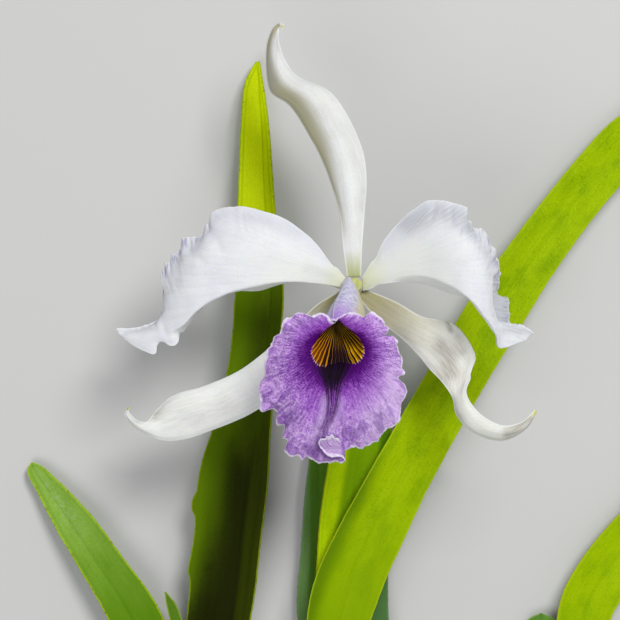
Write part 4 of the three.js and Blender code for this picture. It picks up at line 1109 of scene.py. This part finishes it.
def sheath_piece():
    """The split sheath round the peduncle's foot, which is thin and papery at its margins; here a
    sheet of even thickness.
    """
    along = shares(80)
    girth = np.interp(along, shares(4), SHEATH_GIRTH)[:, None]
    wrap = np.radians(np.interp(along, shares(4), SHEATH_WRAP))[:, None]
    step = (mix(SHEATH_START, SHEATH_END, along) * (PEDUNCLE_STEPS - 1)).astype(int)
    centres = even_path(PEDUNCLE, PEDUNCLE_STEPS)[0][step][:, None]
    turn = wrap * np.linspace(-1, 1, 48)[None]
    girth = girth + 0.07 * np.sin(turn * 14)
    offset = np.stack([girth * np.sin(turn), 0 * turn, -girth * np.cos(turn)], axis=-1)
    return sheet("flower_sheath_papery", centres + offset, 0.55, {"turn": turn})


for piece, paint, slot, node in (
    (rod("column_winged", COLUMN, COLUMN_RINGS, 40, column_radius), column_cream, "column", "column"),
    (rod("ovary_ridged", PEDICEL, 110, 48, pedicel_radius), stalk_green, "stalk",
     "ovary_pedicel"),
    (rod("peduncle_jointed", PEDUNCLE, 180, 32, peduncle_radius), stalk_green, "stalk",
     "peduncle"),
    (cap_piece(), cap_white, "column", "anther_cap"),
    (sheath_piece(), sheath_green, "stalk", "flower_sheath"),
):
    dress(piece, paint, node)


# ------------------------------------------------------------------ leaves
# From the tip to the foot: x, y of the left margin, x, y of the right margin and their height z.
LEAF_LEFT_TALL = [
    [-43.6, 98.4, -41.4, 99, -68], [-48, 89.5, -39.4, 87, -66], [-49.5, 74.5, -37, 67.5, -62],
    [-51, 35.5, -34.5, 35.5, -56], [-52, -4, -30.5, -4, -53], [-55, -36.5, -33, -34.5, -51],
    [-62, -65, -36, -63.5, -51], [-68.5, -90, -37.5, -90.5, -53],
    [-70.5, -114.5, -40.5, -114.5, -56], [-73, -140, -43.5, -140, -58],
    [-74, -161.5, -47.5, -161.5, -60], [-71.5, -184.5, -53, -184.5, -62],
    [-66, -204.5, -60.5, -204.5, -63],
]
LEAF_LEFT_LOW = [
    [-144.5, -81.5, -143.5, -81, -71], [-146, -85, -139, -83, -70], [-141.5, -94, -132, -89, -68],
    [-132, -111.5, -116.5, -104.5, -65], [-121.5, -128.5, -103, -122, -62],
    [-109, -150, -87, -144, -60], [-101, -170.5, -79, -166, -60], [-95, -191.5, -77, -188.5, -61],
    [-90, -215.5, -84.5, -215.5, -63],
]
LEAF_RIGHT_LONG = [
    [157.5, 93, 159, 91.5, -72], [144, 90, 152, 82, -70], [116.5, 72, 132.5, 56, -64],
    [101.5, 56.5, 119, 42.5, -60], [84.5, 36, 102.5, 22.5, -56], [69, 16, 87.5, 1.5, -52],
    [51.5, -8, 73, -21.5, -48], [33.5, -38, 56.5, -48, -44], [20.5, -60, 43, -71.5, -41.5],
    [6, -85, 31, -94, -40], [-6.5, -107.5, 21.5, -114.5, -40], [-15.5, -126.5, 14.5, -130, -41],
    [-20, -145, 8.5, -146.5, -43.5], [-20, -164, 1.5, -165.5, -46.5],
    [-17, -183.5, -3.5, -184.5, -49.5], [-12.3, -199, -6.7, -199, -51.5],
]
LEAF_CENTRE_FRONT = [
    [3, -31, 5, -31, -46], [-3, -45.5, 13.5, -44.5, -46.5], [-8, -63, 17, -63, -47],
    [-11, -81, 16.5, -81, -48], [-13, -92.5, 14.5, -94, -48], [-15, -107.5, 12.5, -109.5, -48.5],
    [-16.5, -131, 9, -131.5, -49.5], [-19.5, -152, -1, -153, -51.2],
    [-24.5, -176.5, -14, -177.5, -54.6], [-31, -199.5, -22.5, -199.5, -59],
    [-35.5, -215.5, -29.5, -215.5, -61],
]
LEAF_CENTRE_BACK = [
    [-6.5, -36, -4.5, -36, -69], [-13.5, -49.5, 3.5, -47.5, -68], [-18, -66.5, 9, -64, -67],
    [-19.5, -81, 12, -80, -66], [-21.5, -97.5, 14.5, -97.5, -66], [-23, -120, 16, -124.5, -66],
    [-24.5, -151.5, 16.5, -151.5, -66], [-15.5, -178, 20, -177, -65], [0, -200.5, 23, -200.5, -64],
    [16, -221, 22, -221, -63],
]
LEAF_RIGHT_LOW = [
    [160.5, -70.5, 162.5, -72, -72], [147.5, -78, 162, -88, -70], [131, -92.5, 152, -106.5, -66],
    [116, -107, 138.5, -120.5, -63], [102.5, -123, 125.5, -134, -61],
    [93.5, -139, 116.5, -147, -60], [90.5, -157.5, 112, -161.5, -60],
    [93, -179.5, 110.5, -181, -61], [98, -196.5, 109, -196.5, -62], [101.5, -210, 107.5, -210, -63],
]
LEAF_RIGHT_SHORT = [
    [84, -149, 86, -149, -70], [78.5, -152, 91.5, -152, -69], [73.5, -162.5, 93.5, -162.5, -66],
    [72, -182.5, 91.5, -182.5, -64], [74, -205, 86.5, -205, -64], [76.5, -225, 82, -225, -64],
]
YOUNG_LEAF = [
    [-83.5, -137.5, -82.5, -137.5, -55, -55], [-82.5, -143.5, -78, -143.5, -55, -55],
    [-80, -154.5, -74.5, -153.5, -55, -55], [-75, -176.5, -69, -174.5, -56.5, -56],
    [-68.4, -208, -65.4, -208, -60.6, -58.4],
]  # with a height for each margin
LEAF_KEEL = 2.6
LEAF_THICKNESS = 1.4
LEAF_MARGIN = 0.5  # its thickness
LEAF_COLUMNS = 37


def leaf_piece(name, margins, rows, columns, keel, thickness, seed, rib=0.5, worn=None):
    """A leaf folded along its midrib, which lies at the share rib of its width, with a groove
    along it and a slightly wavy blade. Worn is a drawn margin, nicked by age."""
    margins = np.array(margins, float)
    left, right = margins[:, [0, 1, 4]], margins[:, [2, 3, -1]]
    middle = mix(left, right, rib)
    middle[:, 2] -= keel * ease(np.linalg.norm(left - right, axis=1), 4, 18)
    grid = rail_grid([left, middle, right], rows, columns)
    if worn:
        grid = drawn_margin(grid, 0, worn)[0]
    fields = blade_fields(grid)
    wide = fields["near"] - fields["near"][:, columns // 2][:, None]
    fields["wide"] = wide
    length = fields["length"]
    away = ease(fields["edge"], 0.5, 4)
    lift = 0.5 * away * grain((wide / 9, length / 30), 1, seed) - 0.45 * bell(wide, 0, 0.8) * away
    lift += 0.12 * away * grain((wide / 1.7, length / 60), 1, seed + 1)
    edges = 0.18 * grain(grid, 2.5, seed + 2) * (1 - away) * np.sign(wide)
    across, normal = directions(grid)
    grid = grid + across * edges[..., None] + normal * lift[..., None]
    return sheet(name, grid, mix(LEAF_MARGIN, thickness, ease(fields["edge"], 0, 3)), fields)


def leaf_paint(name, light, dark, deep, rim, depth_from, depth_to, bands=(), painted_sheen=0, worn=0):
    """Leathery leaf tissue: faint long veins, fine specks, darker clouds and a thin pale rim.
    It turns deep along the leaf; on the tall leaf this deep part is painted shadow that the flower
    casts on it. Each band colours one side of it, given as millimetres from the midrib where it
    starts and is full, its colour and where along it starts; the bands of the tall leaf and the long
    right leaf are painted shadow. Painted_sheen is a pale mottled painted sheen and worn the brown of
    old margins."""
    paint = Paint(name, roughness=0.52, specular=0.18, soft=0.04)
    paint.shader["Specular Tint"].default_value = (0.75, 0.9, 0.2, 1)
    along, wide, edge, length, front = paint.fields("along", "wide", "edge", "length", "front")
    place = paint.place()
    veins = paint.noise((wide * 1.3, length * 0.03))
    clouds = paint.noise((wide * 0.09, length * 0.05), detail=4)
    specks = paint.noise(place, 1.7, 4, 0.75)
    fleck = paint.noise(place, 0.55, 4, 0.7)
    share = veins.rise(0.35, 0.65) * 0.12 + clouds.rise(0.42, 0.68) * 0.45
    share = share + specks.rise(0.46, 0.62) * 0.45 + fleck.rise(0.55, 0.7) * 0.4
    paint.colour = paint.blend(share, light, dark)
    depth = along + (clouds - 0.5) * 0.1
    # deep towards the foot; on the tall leaf painted shadow of the flower
    paint.coat(depth.rise(depth_from, depth_to), deep)
    paint.coat(abs(wide).rise(0.9, 0.1) * 0.3, deep)
    paint.coat(edge.rise(2.4, 1.9) * edge.rise(1, 1.5) * 0.25, deep)
    # bands: painted shadow on the tall leaf and the long right leaf
    for start, full, tone, begin in bands:
        part = wide.rise(start, full) * depth.rise(begin, begin + 0.1)
        paint.coat(part * specks.rise(0.3, 0.6, 1, 0.78), tone)
    # painted sheen: pale mottles away from the margins, towards the tip
    if painted_sheen:
        pale = fleck.rise(0.35, 0.75) * edge.rise(1, 7) * painted_sheen * along.rise(0.5, 0.25)
        paint.coat(pale, (178, 202, 150))
    paint.coat(edge.rise(0.75, 0.25, 0, 0.7), rim)
    if worn:
        paint.coat(fleck.rise(0.54, 0.6) * edge.rise(1.6, 0.3) * worn, (112, 74, 18))
    paint.coat(front.rise(0.6, 0.4, 0, 0.35), (110, 136, 60))
    paint.bump(veins, 0.10)
    paint.bump(specks, 0.12)
    paint.bump(clouds, 0.3)
    return paint.finish(specks.rise(0.3, 0.7, 0.42, 0.6))


TALL_LEAF_NICKS = [
    [-62.8, -66.5], [-66.8, -80], [-68.4, -87.5], [-69.4, -93.8], [-70.8, -95.6], [-71.3, -101],
    [-70.2, -103.4], [-70.1, -110], [-71.6, -120], [-73.2, -129.5], [-72.3, -132], [-73, -142],
    [-74.2, -152],
]
NO_DEPTH = (1.5, 2)
# Node, margins, rows, slot, the midrib's share of the width with a worn margin, and the paint.
LEAVES = (
    # The tall leaf's deep part and dark bands are painted shadow that the flower casts on it.
    ("leaf_left_tall", LEAF_LEFT_TALL, 240, "leaf", (0.72, TALL_LEAF_NICKS),
     ((198, 216, 0), (170, 196, 0), (90, 120, 0), (150, 176, 20), 0.265, 0.305,
      ((-14, -2, (44, 58, 0), 0.27), (-0.6, 0.6, (60, 80, 0), 0.27),
       (-24, -7, (36, 48, 0), 0.46), (-13, -4, (14, 18, 0), 0.5),
       (-26, -12, (15, 18, 0), 0.62), (-38, -20, (13, 16, 0), 0.7),
       (-0.2, 1, (42, 52, 0), 0.46)), 0, 0.4)),
    ("leaf_left_low", LEAF_LEFT_LOW, 160, "deep_leaf", (0.4, None),
     ((140, 180, 70), (104, 150, 38), (88, 132, 10), (176, 204, 10), 0.3, 0.7,
      (), 0.6, 0.5)),
    # The long right leaf's band is painted shadow of the lip.
    ("leaf_right_long", LEAF_RIGHT_LONG, 280, "leaf", (0.5, None),
     ((160, 190, 0), (112, 148, 0), (130, 164, 0), (176, 200, 30), 0.5, 0.9,
      ((-6, -14, (84, 118, 0), 0.52),))),
    ("leaf_centre_front", LEAF_CENTRE_FRONT, 180, "leaf", (0.5, None),
     ((180, 210, 0), (146, 184, 0), (124, 164, 0), (150, 140, 10), 0.6, 0.9,
      ((-8, -4, (98, 142, 0), -0.1), (7, 10, (60, 104, 0), -0.1)))),
    ("leaf_centre_back", LEAF_CENTRE_BACK, 180, "deep_leaf", (0.5, None),
     ((104, 140, 80), (80, 118, 60), (80, 120, 60), (120, 146, 110), *NO_DEPTH,
      ((-16.8, -14.8, (70, 112, 16), -0.1), (-12.5, -10.5, (88, 132, 34), -0.1),
       (6, 9, (76, 116, 70), -0.1)))),
    ("leaf_right_low", LEAF_RIGHT_LOW, 160, "leaf", (0.5, None),
     ((160, 190, 0), (124, 162, 0), (120, 158, 0), (180, 190, 30), 0.5, 0.9)),
    ("leaf_right_short", LEAF_RIGHT_SHORT, 120, "deep_leaf", (0.5, None),
     ((104, 150, 60), (76, 126, 50), (60, 106, 40), (150, 176, 100), 0.5, 0.9)),
)
for seed, (node, margins, rows, slot, (rib, worn), colours) in enumerate(LEAVES):
    form = (margins, rows, LEAF_COLUMNS, LEAF_KEEL, LEAF_THICKNESS, 40 + 5 * seed, rib, worn)
    dress(leaf_piece(node + "_blade", *form), leaf_paint(node + "_green", *colours), node)
young_green = leaf_paint(
    "leaf_young_green", (84, 126, 30), (60, 100, 16), (90, 120, 20), (150, 170, 60), 0.5, 0.9,
)
young_leaf = leaf_piece("leaf_young_blade", YOUNG_LEAF, 90, 20, 1, 0.8, 90)
dress(young_leaf, young_green, "leaf_young")


# ------------------------------------------------------------------ rhizome and pseudobulbs
RHIZOME = [
    [-103, -321.5, -68.4], [-86, -321, -68.2], [-60, -323.2, -68.6], [-31, -326.5, -68.4],
    [-4, -326, -68.6], [24, -323, -68.4], [46, -320.5, -68.6], [69, -321.5, -68.5],
    [96, -324, -68.4], [112, -322, -68.2],
]
RHIZOME_RADIUS = 6.4
RHIZOME_JOINTS = 13
GAP = 0.5  # between a pseudobulb's foot and the rhizome
# Each root's x, how far it runs sideways and how far back.
ROOTS = [
    [-94, -14, 13], [-78, 5, 26], [-52, -9, 16], [-45, 11, 31], [-12, -6, 22], [8, 12, 18],
    [31, -3, 30], [58, -10, 21], [66, 9, 27], [99, 13, 16],
]
ROOT_RADII = (1.65, 1.05)
ROOT_BEND = 7  # mm behind the rhizome's middle where a root turns along the table
SKIN_VOXEL = 0.65
BULB_RADIUS = 9.8
BULB_FOOT = 3.8
BULB_NECK = 4.2
SHARED_NECK = 5.6  # of the pseudobulb that the peduncle stands on too
# A pseudobulb's name, its points from the neck down, and x of its foot on the rhizome.
BULBS = (
    ("left_low", [[-87, -216.4, -63], [-89.5, -231.5, -64.4], [-90.5, -267.5, -66.3],
                  [-88, -304, -67]], -86),
    ("left_tall", [[-63.2, -205.6, -63], [-63.5, -222.5, -64.4], [-64, -263, -66.3],
                   [-61, -301.5, -67]], -59),
    ("centre_front", [[-32.7, -216.5, -61.2], [-34.5, -231.5, -63], [-36, -267.5, -66.3],
                      [-33, -303, -67]], -31),
    ("right_long", [[-9.5, -199.3, -54.2], [-9.2, -216.5, -57], [-8, -258, -63.5],
                    [-5.5, -299, -67]], -4),
    ("centre_back", [[19, -222, -63], [20, -236, -64.4], [21.5, -270, -66.3],
                     [23, -303, -67]], 24.5),
    ("right_short", [[79.2, -226, -64], [78.5, -238.5, -65], [75, -270.5, -66.4],
                     [70.5, -304, -67]], 69),
    ("right_low", [[104.5, -211, -63], [105.5, -225, -64.4], [104, -263, -66.3],
                   [98.5, -301.5, -67]], 96),
)
rhizome_line = curve(RHIZOME, shares(201))


def rhizome_near(x):
    return rhizome_line[np.abs(rhizome_line[:, 0] - x).argmin()]


def rhizome_radius(along, turn):
    """Swollen between the scars that old scale leaves left."""
    phase = RHIZOME_JOINTS * along
    scar = bell((phase + 0.25) % 1, 0.5, 0.06)
    return RHIZOME_RADIUS * (1 + 0.06 * np.sin(TURN * phase)) - 0.55 * scar


def rhizome_piece():
    """The rhizome and its cut roots as one skin, so that the roots grow out of it."""
    rods = [rod_mesh(RHIZOME, 420, 56, rhizome_radius)]
    for x, sideways, back in ROOTS:
        y = rhizome_near(x)[1]
        path = [
            [x, y, TABLE + 5.5],
            [x + 0.15 * sideways, y - ROOT_BEND, TABLE + 3],
            [x + 0.6 * sideways, y - ROOT_BEND - 0.5 * back, TABLE + 1.2],
            [x + sideways, y - ROOT_BEND - back, TABLE + 1],
        ]
        rods.append(rod_mesh(path, 60, 14, lambda along, turn: mix(*ROOT_RADII, along)))
    points = np.zeros((0, 3))
    faces = []
    for rod_points, rod_faces, _ in rods:
        faces += [[corner + len(points) for corner in face] for face in rod_faces]
        points = np.concatenate([points, rod_points])
    piece = make_piece("rhizome_rooted", points, faces, {})
    skin = piece.modifiers.new("skin", "REMESH")
    skin.mode = "VOXEL"
    skin.voxel_size = SKIN_VOXEL * MM
    piece.modifiers.new("settle", "SMOOTH").iterations = 3
    evaluated = piece.evaluated_get(bpy.context.evaluated_depsgraph_get())
    piece.modifiers.clear()
    piece.data = bpy.data.meshes.new_from_object(evaluated)
    piece.data.shade_smooth()
    return piece


def rhizome_paint():
    paint = Paint("rhizome_bark", roughness=0.8, specular=0.2)
    place = paint.place()
    fibre = paint.noise(place, 0.7, 4, 0.65, 0.6)
    cloud = paint.noise(place, 0.12, 3).rise(0.35, 0.65)
    paint.colour = paint.blend(cloud, (124, 104, 70), (92, 72, 46))
    paint.coat(fibre.rise(0.45, 0.7), (170, 152, 112))
    paint.coat(fibre.rise(0.4, 0.28), (60, 46, 30))
    paint.bump(fibre, 0.7)
    return paint.finish(fibre.rise(0.3, 0.7, 0.7, 0.9))


dress(rhizome_piece(), rhizome_paint(), "rhizome")


def bulb_shape(neck, seed):
    """Furrowed, swollen in the middle and wrapped below by the papery rest of a sheath."""

    def radius_at(along, turn):
        end = np.where(along < 0.5, neck, BULB_FOOT)
        swell = np.clip(np.sin(math.pi * along), 0, 1) ** 1.3
        furrow = np.abs(np.sin(3.5 * turn + 0.6 * np.sin(5 * along + seed)))
        girth = mix(end, BULB_RADIUS, swell) * (1 + swell * (0.05 * furrow - 0.035))
        torn = 0.62 + 0.035 * np.sin(3 * turn + seed) + 0.02 * np.sin(11 * turn + 2 * seed)
        wrap = ease(along, torn, torn + 0.006) * (1 - ease(along, 0.93, 0.97))
        return girth + 0.32 * wrap - 0.16 + 0.1 * np.sin(40 * turn) * wrap

    return radius_at


def bulb_paint():
    paint = Paint("pseudobulb_skin", roughness=0.5, specular=0.35, soft=0.05)
    along, turn = paint.fields("along", "turn")
    place = paint.place()
    around = (turn.math("SINE") * 4, turn.math("COSINE") * 4, along * 3)
    streaks = paint.noise(around, 1.6, 3)
    specks = paint.noise(place, 1.1)
    cloud = paint.noise(place, 0.1, 3).rise(0.35, 0.65)
    paint.colour = paint.blend(cloud, (140, 160, 72), (104, 130, 54))
    paint.coat(streaks.rise(0.5, 0.7, 0, 0.5), (168, 176, 104))
    paint.coat(specks.rise(0.64, 0.72, 0, 0.5), (92, 90, 48))
    torn = along + (streaks - 0.5) * 0.09
    paper = paint.blend(streaks.rise(0.35, 0.65), (196, 180, 140), (156, 134, 96))
    paint.coat(torn.rise(0.615, 0.625), paper)
    paint.bump(streaks, 0.35)
    paint.bump(specks, 0.12)
    return paint.finish(along.rise(0.6, 0.63, 0.42, 0.72))


bulb_skin = bulb_paint()
for seed, (name, places, foot) in enumerate(BULBS):
    y, z = rhizome_near(foot)[1:]
    path = places + [[foot, y + RHIZOME_RADIUS * 1.06 + GAP, z]]
    shape = bulb_shape(SHARED_NECK if name == "right_long" else BULB_NECK, seed)
    piece = rod(f"pseudobulb_{name}_furrowed", path, 100, 63, shape)
    dress(piece, bulb_skin, "pseudobulb_" + name)


# ------------------------------------------------------------------ floor, light and camera
LIT_POINT = Vector((0, 0.1, 0.08))


def placed(name, content, location=(0, 0, 0)):
    holder = bpy.data.objects.new(name, content)
    holder.location = location
    bpy.context.scene.collection.objects.link(holder)
    return holder


def floor_piece(side):
    mesh = bpy.data.meshes.new("floor")
    corners = [(-side, -side, 0), (side, -side, 0), (side, side, 0), (-side, side, 0)]
    mesh.from_pydata(corners, [], [(0, 1, 2, 3)])
    paint = Paint("floor_matt", roughness=0.9, specular=0.1)
    soft = paint.noise(paint.place(), 0.002)
    paint.colour = paint.blend(soft, (204, 204, 204), (208, 208, 208))
    mesh.materials.append(paint.finish())
    placed("floor", mesh)


def area_light(name, place, size, energy, colour):
    lamp = bpy.data.lights.new(name, "AREA")
    lamp.shape = "DISK"
    lamp.size = size
    lamp.energy = energy
    lamp.color = colour
    holder = placed(name, lamp, place)
    holder.rotation_mode = "QUATERNION"
    holder.rotation_quaternion = (LIT_POINT - Vector(place)).to_track_quat("-Z", "Y")


floor_piece(12)
area_light("key", (0.42, 0.75, 1.4), 0.6, 15.8, (1, 0.99, 0.965))
area_light("fill", (-0.5, -0.7, 1.6), 1.2, 9, (0.99, 0.99, 1))

world = bpy.data.worlds.new("studio")
world.use_nodes = True
background = world.node_tree.nodes["Background"].inputs
background["Color"].default_value = (0.86, 0.87, 0.88, 1)
background["Strength"].default_value = 0.34
bpy.context.scene.world = world
bpy.context.scene.view_settings.view_transform = "Standard"

PHOTO_WIDTH = 620
MM_PER_PIXEL = 0.42  # at the flower's centre
VIEW_CENTRE = (-18.9, -12.6)
DISTANCE = 1000
SENSOR = 36
camera = bpy.data.cameras.new("camera")
camera.sensor_width = SENSOR
camera.lens = SENSOR * DISTANCE / (PHOTO_WIDTH * MM_PER_PIXEL)
camera.clip_end = 60
aim = (np.array([*VIEW_CENTRE, DISTANCE]) + SHIFT) * MM
bpy.context.scene.camera = placed("camera", camera, aim.tolist())
